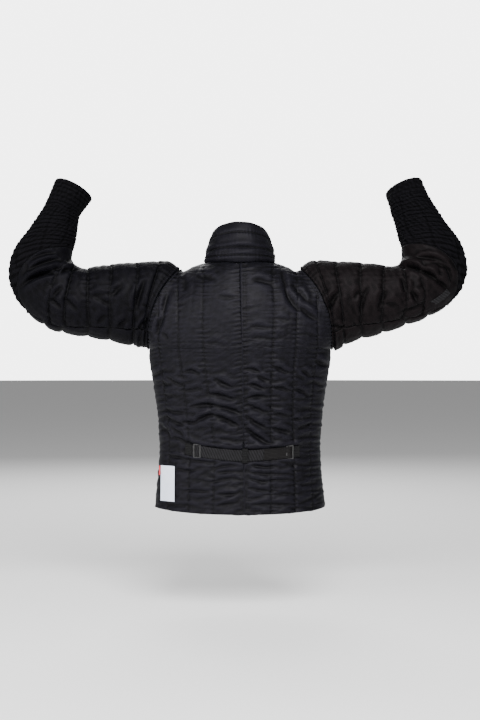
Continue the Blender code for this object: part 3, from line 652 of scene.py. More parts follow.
def soft_noise(first, second, seed, scale=(1.0, 1.0)):
    """Smooth uneven value between -1 and 1, the same each run."""
    rng = np.random.default_rng(SEED + seed)
    total = np.zeros(np.broadcast(first, second).shape)
    for _ in range(7):
        direction = rng.uniform(0, 2 * np.pi)
        pitch = rng.uniform(0.7, 1.6)
        phase = rng.uniform(0, 2 * np.pi)
        place = first * np.cos(direction) / scale[0] + second * np.sin(direction) / scale[1]
        total = total + np.sin(place * pitch * 2 * np.pi + phase)
    return total / 3.6


def puckers(along, away, seed, pitch, reach):
    """Short gathers square to a sewn line, uneven in pitch, length and depth."""
    uneven = along + 0.35 * pitch * soft_noise(along, along * 0, seed, (pitch * 3.1, 1.0))
    wave = np.sin(2 * np.pi * uneven / pitch + 9.0 * np.abs(away) * (seed % 3 - 1))
    strength = 0.62 + 0.38 * soft_noise(along, along * 0, seed + 1, (pitch * 2.3, 1.0))
    length = reach * (1.0 + 0.45 * soft_noise(along, along * 0, seed + 2, (pitch * 1.7, 1.0)))
    return PUCKER_STRENGTH * wave * strength * np.exp(-((np.abs(away) / length) ** 1.4))


def fold_heights(table, columns, across, height):
    """Soft troughs with a rolled ridge above each."""
    total = np.zeros(np.broadcast(across, height).shape)
    for row in table:
        fold = dict(zip(columns, row))
        run = np.array((fold["x1"] - fold["x0"], fold["z1"] - fold["z0"]))
        length = np.hypot(*run)
        run = run / length
        upward = np.array((-run[1], run[0]))
        if upward[1] < 0:
            upward = -upward
        dx, dz = across - fold["x0"], height - fold["z0"]
        part = (dx * run[0] + dz * run[1]) / length
        inside = np.clip(part, 0.0, 1.0)
        away = dx * upward[0] + dz * upward[1] - fold["bow"] * 4 * inside * (1 - inside)
        taper = np.sin(np.pi * inside) ** 0.8 * (part > 0) * (part < 1)
        wide = fold["width"] * (0.65 + 0.35 * taper)
        shape = (-bump(away, wide) + 0.62 * bump(away - 2.1 * wide, 1.5 * wide)
                 + 0.22 * bump(away + 2.3 * wide, 1.6 * wide))
        total = total + FOLD_STRENGTH * fold["depth"] * taper * shape
    return total


def channel_puff(places, position):
    """Height of stuffing between sewn lines: 0 on a line, 1 midway; places run along the last axis."""
    order = np.sort(places, axis=-1)
    low = np.full(position.shape, -np.inf)
    high = np.full(position.shape, np.inf)
    for index in range(order.shape[-1]):
        line = order[..., index]
        low = np.where(line <= position, np.maximum(low, line), low)
        high = np.where(line > position, np.minimum(high, line), high)
    span = high - low
    inside = np.isfinite(span)
    part = np.where(inside, (position - np.where(inside, low, 0)) / np.where(inside, span, 1), 0.5)
    return np.where(inside, 1 - np.abs(2 * part - 1) ** 2.6, 1.0)


def seam_edges(distance):
    """1 away from a seam and 0 on it."""
    return smooth(0.0, SEAM_FADE, distance)


def back_seam(height):
    """Where the seam down the middle of the back runs, by height."""
    return np.interp(-height / HEM_DROP, (0, 1), (BACK_SEAM_SHIFT_TOP, BACK_SEAM_SHIFT_HEM))


def body_relief(face, side, point, to_side, to_top):
    """Height of the padded body cloth over its plain form."""
    sign = SIDES[side]
    x, z = point[..., 0], point[..., 2]
    across = x * sign
    middle = back_seam(z) if face == "back" else x * 0
    lines = [np.interp(-z, [-v for v in row["z"]], row["x"]) for row in BODY_LINES[face][side]]
    away_middle = across - middle * sign
    belt = table_value(STRAP_TABLE, "x", "z", np.clip(x, -0.165, 0.152))
    above = smooth(-0.006, 0.010, z - belt)
    # stuffing between the sewn lines
    edges = np.stack([middle * sign, *lines, np.maximum(across.max() + 0 * z, across)], axis=-1)
    height = BODY_PUFF * channel_puff(edges, across) * (0.75 + 0.25 * soft_noise(x, z, 3, (0.11, 0.07)))
    groove = np.zeros_like(z)
    for index, line in enumerate(lines):
        away = across - line
        uneven = 0.7 + 0.5 * soft_noise(z, z * 0, 20 + index, (0.02, 1))
        groove -= LINE_DEPTH * bump(away, LINE_WIDTH) * uneven
        strength = 0.0011 * (1.0 + 0.5 * (side == "right")) * (0.8 if index else 1.15)
        groove += strength * puckers(z, away, 31 + 5 * index + (side == "right"), 0.0125, 0.016)
    if face == "back":
        upper = 0.0020 * above + 0.0011 * (1 - above)
        slanted = z + 0.16 * away_middle * (1 if side == "left" else -1) * above
        groove += upper * puckers(slanted, away_middle, 60 + (side == "right"), 0.0112, 0.017)
        groove += 0.0010 * puckers(slanted, away_middle, 66 + (side == "right"), 0.0066, 0.010)
        if side == "right":
            groove -= 0.0009 * bump(away_middle - 0.011, 0.0015) * above
        # flat band that covers the seam below the belt
        band = smooth(0.5 * SEAM_BAND_WIDTH + 0.001, 0.5 * SEAM_BAND_WIDTH - 0.001, away_middle) * (1 - above)
        groove = groove * (1 - 0.8 * band) + 0.0007 * band
        height = height * (1 - 0.7 * band)
        folds = fold_heights(BACK_FOLDS, FOLD_COLUMNS, x, z)
        folds *= 1 - 0.85 * band
        # the strap draws the cloth in, and the cloth above it hangs over the strap's edge
        span = smooth(-0.168, -0.150, x) * smooth(0.158, 0.140, x)
        rise = z - belt - 0.5 * STRAP_WIDTH
        height += span * BELT_BULGE * (bump(rise - 0.0085, 0.0075) + 0.35 * bump(rise - 0.020, 0.012))
        height += span * 0.0020 * bump(rise + STRAP_WIDTH + 0.007, 0.006)
        flat = span * bump(rise + 0.5 * STRAP_WIDTH, 0.5 * STRAP_WIDTH + 0.001) ** 0.5
        from_belt = np.abs(z - belt)
        flat = np.where(from_belt < 0.5 * STRAP_WIDTH, span, flat * smooth(0.022, 0.015, from_belt))
        height = height * (1 - flat) - BELT_DENT * flat
        folds = folds * (1 - 0.92 * flat)
        groove = groove * (1 - 0.9 * flat)
        label = (smooth(LABEL_X[0] - 0.008, LABEL_X[0], x) * smooth(LABEL_Z[0] - 0.008, LABEL_Z[0], z)
                 * smooth(LABEL_Z[1] + 0.008, LABEL_Z[1], z))
        calm = 1 - 0.75 * label
        folds, groove = folds * calm, groove * calm
    else:
        folds = fold_heights(FRONT_FOLDS, FOLD_COLUMNS, x, z)
        groove += 0.0012 * puckers(z, away_middle - 0.5 * FLAP_WIDTH, 70 + (side == "right"), 0.0136, 0.022)
        under = smooth(0.5 * FLAP_WIDTH + 0.010, 0.5 * FLAP_WIDTH, away_middle)
        folds, groove = folds * (1 - 0.8 * under), groove * (1 - 0.8 * under)
        height = height * (1 - 0.6 * under)
    # small uneven wrinkles, finer below the chest and flatter on the satin-smooth upper back
    rough = 0.35 + 0.65 * smooth(-0.24, -0.32, z)
    sloped = z + 0.12 * across * (1 if side == "left" else -1)
    wrinkles = 0.0011 * rough * soft_noise(x, sloped, 11, (0.060, 0.0135))
    wrinkles += 0.00045 * soft_noise(x, z, 12, (0.022, 0.0085))
    # gathers along the armhole
    by_hole = smooth(-0.245, -0.215, z)
    gathers = 0.0017 * by_hole * puckers(z * 1.1, to_side, 80 + (side == "right"), 0.0105, 0.017)
    if face == "front":
        hem = smooth(0.030, 0.018, z + HEM_DROP)
    else:
        hem = smooth(0.026, 0.014, z + HEM_DROP + 0.004)
    hem_line = -0.0010 * bump(z + HEM_DROP - 0.012 + HEM_CENTRE_DROP * 0.5, 0.0016)
    total = height + groove + folds + wrinkles + gathers + hem_line * hem
    # both sides meet at the same height along the middle seam
    closing = smooth(0.0, 0.0032, away_middle)
    total = total * closing + 0.0018 * (1 - closing)
    total *= seam_edges(to_side) * seam_edges(to_top)
    total += SIDE_FULLNESS * smooth(0.085, 0.0, to_side) * smooth(-0.222, -0.262, z)
    total -= SEAM_DEPTH * (bump(to_side, 0.0022) + bump(to_top, 0.0020)) * 0.6
    return total


def line_place(side, index, turn):
    """Where along the sleeve a slanting quilting line runs, for its turn round the arm."""
    lines = SLEEVE_LINES[side]
    from_top = np.abs((turn + 0.5) % 1.0 - 0.5)
    part = np.clip(from_top / UNDER_SEAM_TURN, 0.0, 1.25)
    top, seam = lines["top"][index], lines["seam"][index]
    return top + (seam - top) * part ** (0.85 if index < 3 else 0.75)


def metres_along(point):
    """Arc length down each column of a grid of points, starting at 0."""
    steps = np.linalg.norm(np.diff(point, axis=0), axis=-1)
    return np.concatenate([np.zeros((1, point.shape[1])), np.cumsum(steps, axis=0)])


def metres_across(point):
    return metres_along(point.swapaxes(0, 1)).T


def sleeve_relief(side, point, along, turn, to_hole, to_seam, to_elbow):
    """Height of the stuffed channels and folds of the upper sleeve."""
    x, z = point[..., 0], point[..., 2]
    lines = np.stack([line_place(side, index, turn) for index in range(6)], axis=-1)
    edges = np.concatenate([lines, np.full_like(lines[..., :1], -0.9)], axis=-1)
    per_row = np.gradient(metres_along(point), axis=0) / np.maximum(np.gradient(along, axis=0), 1e-6)
    height = SLEEVE_PUFF * (channel_puff(edges, along) - 0.45)
    beyond = smooth(5.4, 6.1, along)
    height *= 1 - 0.55 * beyond
    groove = np.zeros_like(x)
    for index in range(lines.shape[-1]):
        away = (along - lines[..., index]) * per_row
        fade = 1 - 0.6 * smooth(5.6, 6.2, lines[..., index])
        groove -= fade * 0.0017 * bump(away, 0.0026)
        seed = 100 + 7 * index + (side == "right")
        groove += fade * 0.0010 * puckers(turn * 0.42, away, seed, 0.0125, 0.014)
    back = smooth(-0.15, 0.25, np.sin(2 * np.pi * turn))
    folds = np.zeros_like(x)
    for face, weight in ((0, None), (1, back), (-1, 1 - back)):
        rows = [row[1:] for row in SLEEVE_FOLDS[side] if row[0] == face]
        found = SLEEVE_FOLD_STRENGTH * fold_heights(rows, SLEEVE_FOLD_COLUMNS[1:], x, z)
        folds += found if weight is None else found * weight
    crown = bump(np.abs((turn + 0.5) % 1.0 - 0.5), 0.07)
    folds *= 1 - 0.5 * crown
    height *= 1 - 0.5 * crown
    wrinkles = (0.0006 * soft_noise(x + z, z - x, 120, (0.045, 0.024))
                + 0.0001 * soft_noise(x, z, 121, (0.012, 0.010)))
    by_hole = 0.0019 * puckers(turn * 0.44, to_hole, 130 + (side == "right"), 0.0105, 0.019)
    hole_line = -0.0011 * bump(to_hole - 0.011, 0.0014)
    ridge = 0.0016 * bump(to_hole - 0.0055, 0.0040)
    total = height + groove + folds + wrinkles + by_hole + hole_line + ridge
    total += 0.0010 * puckers(metres_along(point), to_seam, 140, 0.016, 0.016)
    total *= seam_edges(to_hole) * seam_edges(to_seam) * seam_edges(to_elbow)
    total -= SEAM_DEPTH * (bump(to_hole, 0.0024) + bump(to_seam, 0.0022) + bump(to_elbow, 0.0022)) * 0.7
    return total


def under_relief(side, point, along, to_seam, to_hole):
    """Scalloped stuffing of the strip under the arm, in step with the sleeve's lines."""
    lines = SLEEVE_LINES[side]["seam"]
    places = np.broadcast_to(np.array([-0.6, *lines, UNDER_PANEL_END]), (*along.shape, len(lines) + 2))
    per_row = np.gradient(metres_along(point), axis=0) / np.maximum(np.gradient(along, axis=0), 1e-6)
    height = UNDER_PUFF * (channel_puff(places, along) - 0.25)
    for line in lines:
        away = (along - line) * per_row
        height -= 0.0018 * bump(away, 0.0026)
    gathered = smooth(1.9, 0.4, along)
    height += gathered * 0.0030 * puckers(metres_along(point), to_seam * 0.2, 150, 0.0120, 0.050)
    height += 0.0006 * soft_noise(point[..., 0], point[..., 1], 151, (0.020, 0.020))
    return height * seam_edges(to_seam) * seam_edges(to_hole) - SEAM_DEPTH * bump(to_seam, 0.0022) * 0.7


def rib_relief(side, point, along, turn, to_edge):
    """Narrow crosswise channels, broken into blocks by lengthwise lines."""
    run = metres_from_elbow(side, along)
    blocks = (0.02, 0.13, 0.25, 0.37, 0.50, 0.63, 0.75, 0.87)
    block = np.zeros_like(turn)
    away = np.full_like(turn, 1.0)
    for index, line in enumerate(blocks):
        drift = line + 0.012 * np.sin(along * 1.7 + index * 2.1)
        gap = np.abs((turn - drift + 0.5) % 1.0 - 0.5) * FOREARM_ROUND
        away = np.minimum(away, gap)
        block += (turn > drift) * 1.0
    offset = soft_noise(block * 3.7, block * 0, 160, (5.0, 1.0))
    knit = 1.0 if side == "right" else 0.7
    phase = run / RIB_PITCH + knit * 0.32 * offset + 0.22 * soft_noise(turn * 5, run * 30, 161, (1.0, 1.0))
    wave = np.abs(np.sin(np.pi * phase)) ** 0.75
    strength = 0.8 + 0.3 * soft_noise(point[..., 0] + point[..., 1], point[..., 2], 162, (0.05, 0.05))
    height = RIB_HEIGHT * (wave - 0.55) * strength
    height -= 0.0018 * knit * bump(away, 0.0026)
    height += 0.0014 * knit * soft_noise(turn * 0.4, run, 163, (0.012, 0.008))
    creases = 0.0020 * soft_noise(run + 0.1 * np.sin(2 * np.pi * turn), turn * 0.1, 164, (0.055, 0.05))
    height += creases * 0.6
    return height * seam_edges(to_edge) - 0.0008 * bump(to_edge, 0.0024)


def metres_from_elbow(side, along):
    """Length along the middle of the forearm, for whole crosswise ribs."""
    rows = np.linspace(5.0, CUFF_END, 60)
    middle = (sleeve_point(side, rows, 0.25 + 0 * rows) + sleeve_point(side, rows, 0.75 + 0 * rows)) / 2
    lengths = np.concatenate([[0.0], np.cumsum(np.linalg.norm(np.diff(middle, axis=0), axis=-1))])
    return np.interp(along, rows, lengths)


def cuff_relief(side, along, turn):
    run = metres_from_elbow(side, along)
    start = metres_from_elbow(side, np.array(CUFF_START))
    end = metres_from_elbow(side, np.array(CUFF_END))
    height = 0.0018 * (np.abs(np.sin(np.pi * (run - start) / (RIB_PITCH * 1.05))) ** 0.75 - 0.5)
    height *= smooth(end - 0.010, end - 0.020, run)
    height += 0.0010 * bump(run - end + 0.006, 0.004) - 0.0010 * bump(run - end + 0.014, 0.0018)
    height += 0.0008 * soft_noise(turn * 0.4, run, 170, (0.02, 0.02))
    return height * seam_edges(run - start) - 0.0008 * bump(run - start, 0.0024)


def collar_relief(height, angle):
    """Rolled bands of the collar between its sewn lines."""
    behind = smooth(-0.3, 0.5, np.cos(angle))
    drop = 0.03 * (1 - np.abs(np.cos(angle)))
    lines = (line - drop + 0 * height for line in COLLAR_LINES)
    places = np.stack([0 * height, *lines, 1 + 0 * height], axis=-1)
    shape = COLLAR_PUFF * (channel_puff(places, height) - 0.15)
    for index, line in enumerate(COLLAR_LINES):
        away = (height - line + drop) * COLLAR_TALL
        deep = (0.0022, 0.0030 * (0.35 + 0.65 * behind * bump(np.sin(angle), 0.75)), 0.0016)[index]
        shape -= deep * bump(away, (0.0026, 0.0036, 0.0024)[index])
        shape += 0.0006 * puckers(angle * COLLAR_ROUND, away, 180 + index, 0.0090, 0.012)
    shape += 0.0022 * bump((height - 0.46) * COLLAR_TALL, 0.007) * behind
    roll = bump((height - 0.10) * COLLAR_TALL, 0.010)
    shape += 0.0018 * roll * (0.6 + 0.8 * smooth(0.2, 0.9, np.sin(angle)))
    shape += 0.0012 * soft_noise(angle * COLLAR_ROUND, height * COLLAR_TALL, 185, (0.06, 0.03))
    shape += 0.0010 * bump((1 - height) * COLLAR_TALL, 0.008)
    return shape * smooth(0.0, 0.02, height) - 0.0010 * bump(height * COLLAR_TALL, 0.0022)


# ---- laying cloth ----


def grid_normals(points, outward):
    down = np.gradient(points, axis=0)
    across = np.gradient(points, axis=1)
    normal = np.cross(across, down)
    length = np.linalg.norm(normal, axis=-1, keepdims=True)
    normal = normal / np.maximum(length, 1e-12)
    facing = np.sign((normal * outward).sum(axis=-1).mean())
    return normal * (facing if facing else 1.0)


def cut_size(points):
    """Flat width, length and area of the cloth that covers a grid of points."""
    width = metres_across(points)[:, -1].max()
    length = metres_along(points)[-1].max()
    first = points[1:, 1:] - points[:-1, :-1]
    second = points[:-1, 1:] - points[1:, :-1]
    area = np.linalg.norm(np.cross(first, second), axis=-1).sum() / 2
    return float(width), float(length), float(area)


class Cloth:
    """A laid panel, kept so that stitches and trims can be put on it."""

    made = {}
    trees = {}

    def __init__(self, points, normals, relief):
        self.base = points
        self.points = points + normals * relief[..., None]
        self.normals = grid_normals(self.points, normals)

    def at(self, row, column):
        """Points and outward directions at fractional rows and columns of the grid."""
        last_row, last_column = self.points.shape[0] - 1, self.points.shape[1] - 1
        row = np.clip(row, 0, last_row - 1e-6)
        column = np.clip(column, 0, last_column - 1e-6)
        low_row, low_column = row.astype(int), column.astype(int)
        part_row, part_column = (row - low_row)[..., None], (column - low_column)[..., None]
        found = []
        for values in (self.points, self.normals):
            top = (values[low_row, low_column] * (1 - part_column)
                   + values[low_row, low_column + 1] * part_column)
            low = (values[low_row + 1, low_column] * (1 - part_column)
                   + values[low_row + 1, low_column + 1] * part_column)
            found.append(top * (1 - part_row) + low * part_row)
        found[1] /= np.linalg.norm(found[1], axis=-1, keepdims=True)
        return found


def lay_mesh(name, points, normals, material, wall, crest=None, uv=None):
    """A sheet over a grid of points: create_grid, moved out to them, with a live wall."""
    rows, columns = points.shape[0] - 1, points.shape[1] - 1
    bm = bmesh.new()
    bmesh.ops.create_grid(bm, x_segments=columns, y_segments=rows, size=0.5)
    bm.verts.ensure_lookup_table()
    if uv is None:
        uv = (metres_across(points), metres_along(points))
    places = [(round((v.co.y + 0.5) * rows), round((v.co.x + 0.5) * columns)) for v in bm.verts]
    for vert, place in zip(bm.verts, places):
        vert.co = points[place]
    layer = bm.loops.layers.uv.new("cloth")
    for face in bm.faces:
        for loop in face.loops:
            place = places[loop.vert.index]
            loop[layer].uv = (uv[0][place], uv[1][place])
    bm.normal_update()
    agree = sum(
        face.normal.dot(Vector(normals[places[face.verts[0].index]])) for face in list(bm.faces)[::37]
    )
    if agree < 0:
        bmesh.ops.reverse_faces(bm, faces=bm.faces[:])
    mesh = bpy.data.meshes.new(name)
    bm.to_mesh(mesh)
    bm.free()
    mesh.shade_smooth()
    if crest is not None:
        # the crest values are read by the cloth material to paint shade into folds and a highlight onto
        # ridges
        wear_and_fold_shade = mesh.attributes.new("crest", "FLOAT", "POINT")
        wear_and_fold_shade.data.foreach_set("value", np.array([crest[place] for place in places], np.float32))
    return finish_piece(name, mesh, material, wall)


def finish_piece(name, mesh, material, wall=0.0):
    piece = bpy.data.objects.new(name, mesh)
    bpy.context.scene.collection.objects.link(piece)
    mesh.materials.append(material)
    if wall:
        thick = piece.modifiers.new("wall", "SOLIDIFY")
        thick.thickness = wall
        thick.offset = -1.0
        thick.use_even_offset = False
        thick.use_rim = True
    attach(piece, BODY)
    return piece


def crests(relief):
    """How far each point stands over the cloth round it, for a painted highlight on the ridges and painted
    shade in the folds.
    """
    blurred = relief.copy()
    for _ in range(10):
        padded = np.pad(blurred, 1, mode="edge")
        blurred = (padded[:-2, 1:-1] + padded[2:, 1:-1] + padded[1:-1, :-2] + padded[1:-1, 2:]) / 4
    return np.clip(0.5 + (relief - blurred) / CREST_RANGE, 0.0, 1.0)


def lay_cloth(node, points, outward, relief, material, uv=None, steer=None):
    """Lay the cloth that stands for a node, moved out from its plain form by a relief."""
    base_normals = grid_normals(points, outward)
    for _ in range(12):
        base_normals[1:-1] = (base_normals[:-2] + 2 * base_normals[1:-1] + base_normals[2:]) / 4
    if steer is not None:
        share, way = steer
        base_normals = base_normals * (1 - share[..., None]) + np.array(way) * share[..., None]
    base_normals /= np.linalg.norm(base_normals, axis=-1, keepdims=True)
    cloth = Cloth(points, base_normals, relief)
    Cloth.made[node] = cloth
    piece = lay_mesh(f"{node}_cloth", cloth.points, cloth.normals, material, CLOTH_WALL,
                     crests(relief), uv)
    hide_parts(node)
    width, length, area = cut_size(cloth.points)
    return piece


def fineness(rows, columns):
    return ((rows, columns))


# ---- materials ----


def new_material(name):
    material = bpy.data.materials.new(name)
    material.use_nodes = True
    tree = material.node_tree
    tree.nodes.clear()
    output = tree.nodes.new("ShaderNodeOutputMaterial")
    shader = tree.nodes.new("ShaderNodeBsdfPrincipled")
    tree.links.new(shader.outputs[0], output.inputs[0])
    return material, tree, shader


def add_node(tree, kind, **settings):
    node = tree.nodes.new(kind)
    for key, value in settings.items():
        if key in node.inputs:
            node.inputs[key].default_value = value
        else:
            setattr(node, key, value)
    return node


def add_mix(tree, factor, first, second, blend="MIX"):
    node = tree.nodes.new("ShaderNodeMix")
    node.data_type = "RGBA"
    node.blend_type = blend
    for socket, value in ((node.inputs[0], factor), (node.inputs[6], first), (node.inputs[7], second)):
        if isinstance(value, bpy.types.NodeSocket):
            tree.links.new(value, socket)
        elif isinstance(value, tuple):
            socket.default_value = (*value, 1.0)
        else:
            socket.default_value = value
    return node.outputs[2]


def add_range(tree, value, low, high, new_low, new_high):
    node = add_node(tree, "ShaderNodeMapRange")
    for socket, number in zip(list(node.inputs)[1:5], (low, high, new_low, new_high)):
        socket.default_value = number
    tree.links.new(value, node.inputs[0])
    return node.outputs[0]


def add_noise(tree, vector, **settings):
    """Value of a noise texture."""
    node = add_node(tree, "ShaderNodeTexNoise", **settings)
    tree.links.new(vector, node.inputs["Vector"])
    return node.outputs[0]


def add_bump(tree, shader, height, strength, distance):
    relief = add_node(tree, "ShaderNodeBump", Strength=strength, Distance=distance)
    tree.links.new(height, relief.inputs["Height"])
    tree.links.new(relief.outputs[0], shader.inputs["Normal"])


def coordinates(tree, kind):
    return add_node(tree, "ShaderNodeTexCoord").outputs[kind]


def scaled_colour(colour, share):
    return tuple(part * share for part in colour)


def add_wave(tree, vector, pitch, angle, distortion=0.0, detail=0.0):
    """Even ridges two pitches apart, in metres, turned by an angle."""
    turn = add_node(tree, "ShaderNodeMapping")
    turn.inputs["Rotation"].default_value = (0.0, 0.0, angle)
    tree.links.new(vector, turn.inputs[0])
    wave = add_node(tree, "ShaderNodeTexWave", wave_type="BANDS", bands_direction="X")
    wave.inputs["Scale"].default_value = 1 / pitch / WAVE_TEXTURE_RATE * math.pi
    wave.inputs["Distortion"].default_value = distortion
    wave.inputs["Detail"].default_value = detail
    tree.links.new(turn.outputs[0], wave.inputs[0])
    return wave.outputs["Fac"]


def cloth_material(name, dark, light, roughness, sheen, weave_pitch, weave_depth, mottle=0.05,
                   specular=0.5, tint=(0.95, 0.92, 1.0)):
    """Woven cloth: twill ribs, mottled dye, and a painted highlight on the ridges with painted shade in the
    folds.
    """
    material, tree, shader = new_material(name)
    uv, place = coordinates(tree, "UV"), coordinates(tree, "Object")
    wear_and_fold_shade = add_node(tree, "ShaderNodeAttribute", attribute_name="crest")
    patches = add_noise(tree, place, Scale=1 / mottle, Detail=4.0, Roughness=0.6)
    fibres = add_noise(tree, place, Scale=420.0, Detail=2.0, Roughness=0.6)
    twill = add_wave(tree, uv, weave_pitch, math.radians(38))
    cross = add_wave(tree, uv, weave_pitch * 1.35, math.radians(-52))
    # painted light: the crest value makes the base colour lighter on ridges and darker in folds, standing in
    # for highlight and shade
    crest_highlight_and_shade = add_range(tree, wear_and_fold_shade.outputs["Fac"], 0.22, 0.80, 0.0, 1.0)
    spread = add_range(tree, patches, 0.3, 0.7, -0.22, 0.22)
    total = add_node(tree, "ShaderNodeMath", operation="ADD", use_clamp=True)
    tree.links.new(crest_highlight_and_shade, total.inputs[0])
    tree.links.new(spread, total.inputs[1])
    ground = add_mix(tree, total.outputs[0], dark, light)
    thread = add_range(tree, twill, 0.0, 1.0, 0.80, 1.0)
    shade = add_node(tree, "ShaderNodeCombineColor")
    for socket in shade.inputs[:3]:
        tree.links.new(thread, socket)
    woven = add_mix(tree, 1.0, ground, shade.outputs[0], "MULTIPLY")
    tree.links.new(woven, shader.inputs["Base Color"])
    rough = add_range(tree, patches, 0.3, 0.7, roughness - 0.05, roughness + 0.07)
    tree.links.new(rough, shader.inputs["Roughness"])
    shader.inputs["Specular IOR Level"].default_value = specular
    shader.inputs["Specular Tint"].default_value = (*tint, 1.0)
    shader.inputs["Sheen Weight"].default_value = sheen
    shader.inputs["Sheen Roughness"].default_value = 0.45
    shader.inputs["Sheen Tint"].default_value = (0.80, 0.86, 1.0, 1.0)
    height = add_mix(tree, 0.35, twill, cross)
    height = add_mix(tree, 0.25, height, fibres)
    add_bump(tree, shader, height, 0.6, weave_depth)
    return material


def webbing_material(name, dark, light, pitch, slant):
    """Woven webbing with slanting ribs."""
    material, tree, shader = new_material(name)
    uv = coordinates(tree, "UV")
    ribs = add_wave(tree, uv, pitch, slant, 0.4, 1.0)
    fine = add_wave(tree, uv, 0.0007, slant + math.pi / 2)
    both = add_mix(tree, 0.3, ribs, add_noise(tree, uv, Scale=60.0, Detail=3.0))
    ramp = add_range(tree, both, 0.15, 0.8, 0.0, 1.0)
    tree.links.new(add_mix(tree, ramp, dark, light), shader.inputs["Base Color"])
    shader.inputs["Roughness"].default_value = 0.62
    shader.inputs["Specular IOR Level"].default_value = 0.12
    shader.inputs["Sheen Weight"].default_value = 0.02
    height = add_mix(tree, 0.2, ribs, fine)
    add_bump(tree, shader, height, 0.9, 0.0009)
    return material


def plastic_material(name, dark, light):
    """Moulded plastic with a fine grain and rubbed patches."""
    material, tree, shader = new_material(name)
    place = coordinates(tree, "Object")
    grain = add_noise(tree, place, Scale=1400.0, Detail=2.0)
    rubbed = add_noise(tree, place, Scale=160.0, Detail=5.0, Roughness=0.7)
    wear_and_fold_shade = add_range(tree, rubbed, 0.42, 0.72, 0.0, 1.0)
    tree.links.new(add_mix(tree, wear_and_fold_shade, dark, light), shader.inputs["Base Color"])
    tree.links.new(add_range(tree, rubbed, 0.3, 0.7, 0.26, 0.46), shader.inputs["Roughness"])
    shader.inputs["Specular IOR Level"].default_value = 0.3
    add_bump(tree, shader, grain, 0.35, 0.0002)
    return material


def thread_material(name, colour, light):
    material, tree, shader = new_material(name)
    place = coordinates(tree, "Object")
    twist = add_noise(tree, place, Scale=900.0, Detail=2.0)
    tree.links.new(add_mix(tree, twist, colour, light), shader.inputs["Base Color"])
    shader.inputs["Roughness"].default_value = 0.55
    shader.inputs["Specular IOR Level"].default_value = 0.15
    add_bump(tree, shader, twist, 0.5, 0.0002)
    return material


def label_material(name, plain, soiled):
    """White woven label, left blank and a little soiled."""
    material, tree, shader = new_material(name)
    uv = coordinates(tree, "UV")
    weft = add_wave(tree, uv, 0.0006, 0.0)
    warp = add_wave(tree, uv, 0.0006, math.pi / 2)
    soil = add_noise(tree, uv, Scale=45.0, Detail=4.0)
    both = add_mix(tree, 0.5, weft, warp)
    tone = add_range(tree, soil, 0.3, 0.7, 0.0, 0.5)
    tree.links.new(add_mix(tree, tone, plain, soiled), shader.inputs["Base Color"])
    shader.inputs["Roughness"].default_value = 0.7
    shader.inputs["Sheen Weight"].default_value = 0.15
    add_bump(tree, shader, both, 0.5, 0.0003)
    return material


def material_for(name):
    """Each finish, made once."""
    if name in bpy.data.materials:
        return bpy.data.materials[name]
    colours = bpy.context.scene.jacket_colours
    satin = tuple(colours.satin)
    ribbed = tuple(colours.ribbed)
    webbing = tuple(colours.webbing)
    dull = colours.satin_roughness
    if name == "satin_body":
        return cloth_material(name, scaled_colour(satin, 0.25), scaled_colour(satin, 1.7), dull, 0.015, *SATIN_WEAVE,
                              specular=0.10)
    # painted shade: the left sleeve's satin is a darker, less shiny copy of the body's satin, standing in for
    # the shade the sleeve lies in
    if name == "satin_sleeve_left":
        painted_shade_satin = scaled_colour(satin, 0.5)
        return cloth_material(name, scaled_colour(painted_shade_satin, 0.25), scaled_colour(painted_shade_satin, 1.6), dull, 0.010, *SATIN_WEAVE,
                              specular=0.055)
    # painted light and shade: the right sleeve's satin is a darker copy of the body's satin tinted warm, with
    # a warm specular tint, standing in for warmer light on that side
    if name == "satin_sleeve_right":
        painted_warm_light_satin = (satin[0] * 0.95, satin[1] * 0.74, satin[2] * 0.50)
        return cloth_material(name, scaled_colour(painted_warm_light_satin, 0.25), scaled_colour(painted_warm_light_satin, 1.6), dull, 0.015, *SATIN_WEAVE,
                              specular=0.055, tint=(1.0, 0.92, 0.96))
    if name == "ribbed_matt":
        return cloth_material(name, scaled_colour(ribbed, 0.2), scaled_colour(ribbed, 2.0), 0.85, 0.005, *RIBBED_WEAVE,
                              0.03, 0.05)
    if name == "webbing_ribbed":
        return webbing_material(name, scaled_colour(webbing, 0.35), scaled_colour(webbing, 2.6), 0.0034, math.radians(24))
    if name == "webbing_tail":
        brown = (webbing[0] * 0.95, webbing[1] * 0.80, webbing[2] * 0.72)
        return webbing_material(name, scaled_colour(brown, 0.6), scaled_colour(brown, 1.1), 0.0018, math.radians(90))
    if name == "webbing_anchor":
        return webbing_material(name, scaled_colour(webbing, 0.35), scaled_colour(webbing, 0.8), 0.0022, math.radians(90))
    if name == "buckle_plastic":
        return plastic_material(name, (0.004, 0.004, 0.005), (0.012, 0.012, 0.014))
    if name == "thread_dark":
        return thread_material(name, (0.0010, 0.0010, 0.0015), (0.0034, 0.0034, 0.0046))
    if name == "label_white":
        return label_material(name, tuple(colours.label), (0.55, 0.60, 0.72))
    if name == "tape_red":
        return thread_material(name, (0.42, 0.02, 0.03), (0.62, 0.05, 0.06))
    raise ValueError(name)


# ---- the pieces ----


def spread(size, down, across):
    """Grid of places: one value down its rows and one across its columns."""
    rows, columns = fineness(*size)
    return np.meshgrid(np.linspace(*down, rows + 1), np.linspace(*across, columns + 1), indexing="ij")


def body_grid(face, side):
    rows, columns = fineness(240, 96)
    above = rows * YOKE_ROWS // ALL_ROWS
    below = rows * (ALL_ROWS - YOKE_ROWS) // ALL_ROWS
    down = np.concatenate([np.linspace(0, 1, above + 1), np.linspace(1, 2, below + 1)[1:]])
    across = np.linspace(0, 1, columns + 1)
    down, across = np.meshgrid(down, across, indexing="ij")
    return panel_point(face, SIDES[side], across, down)


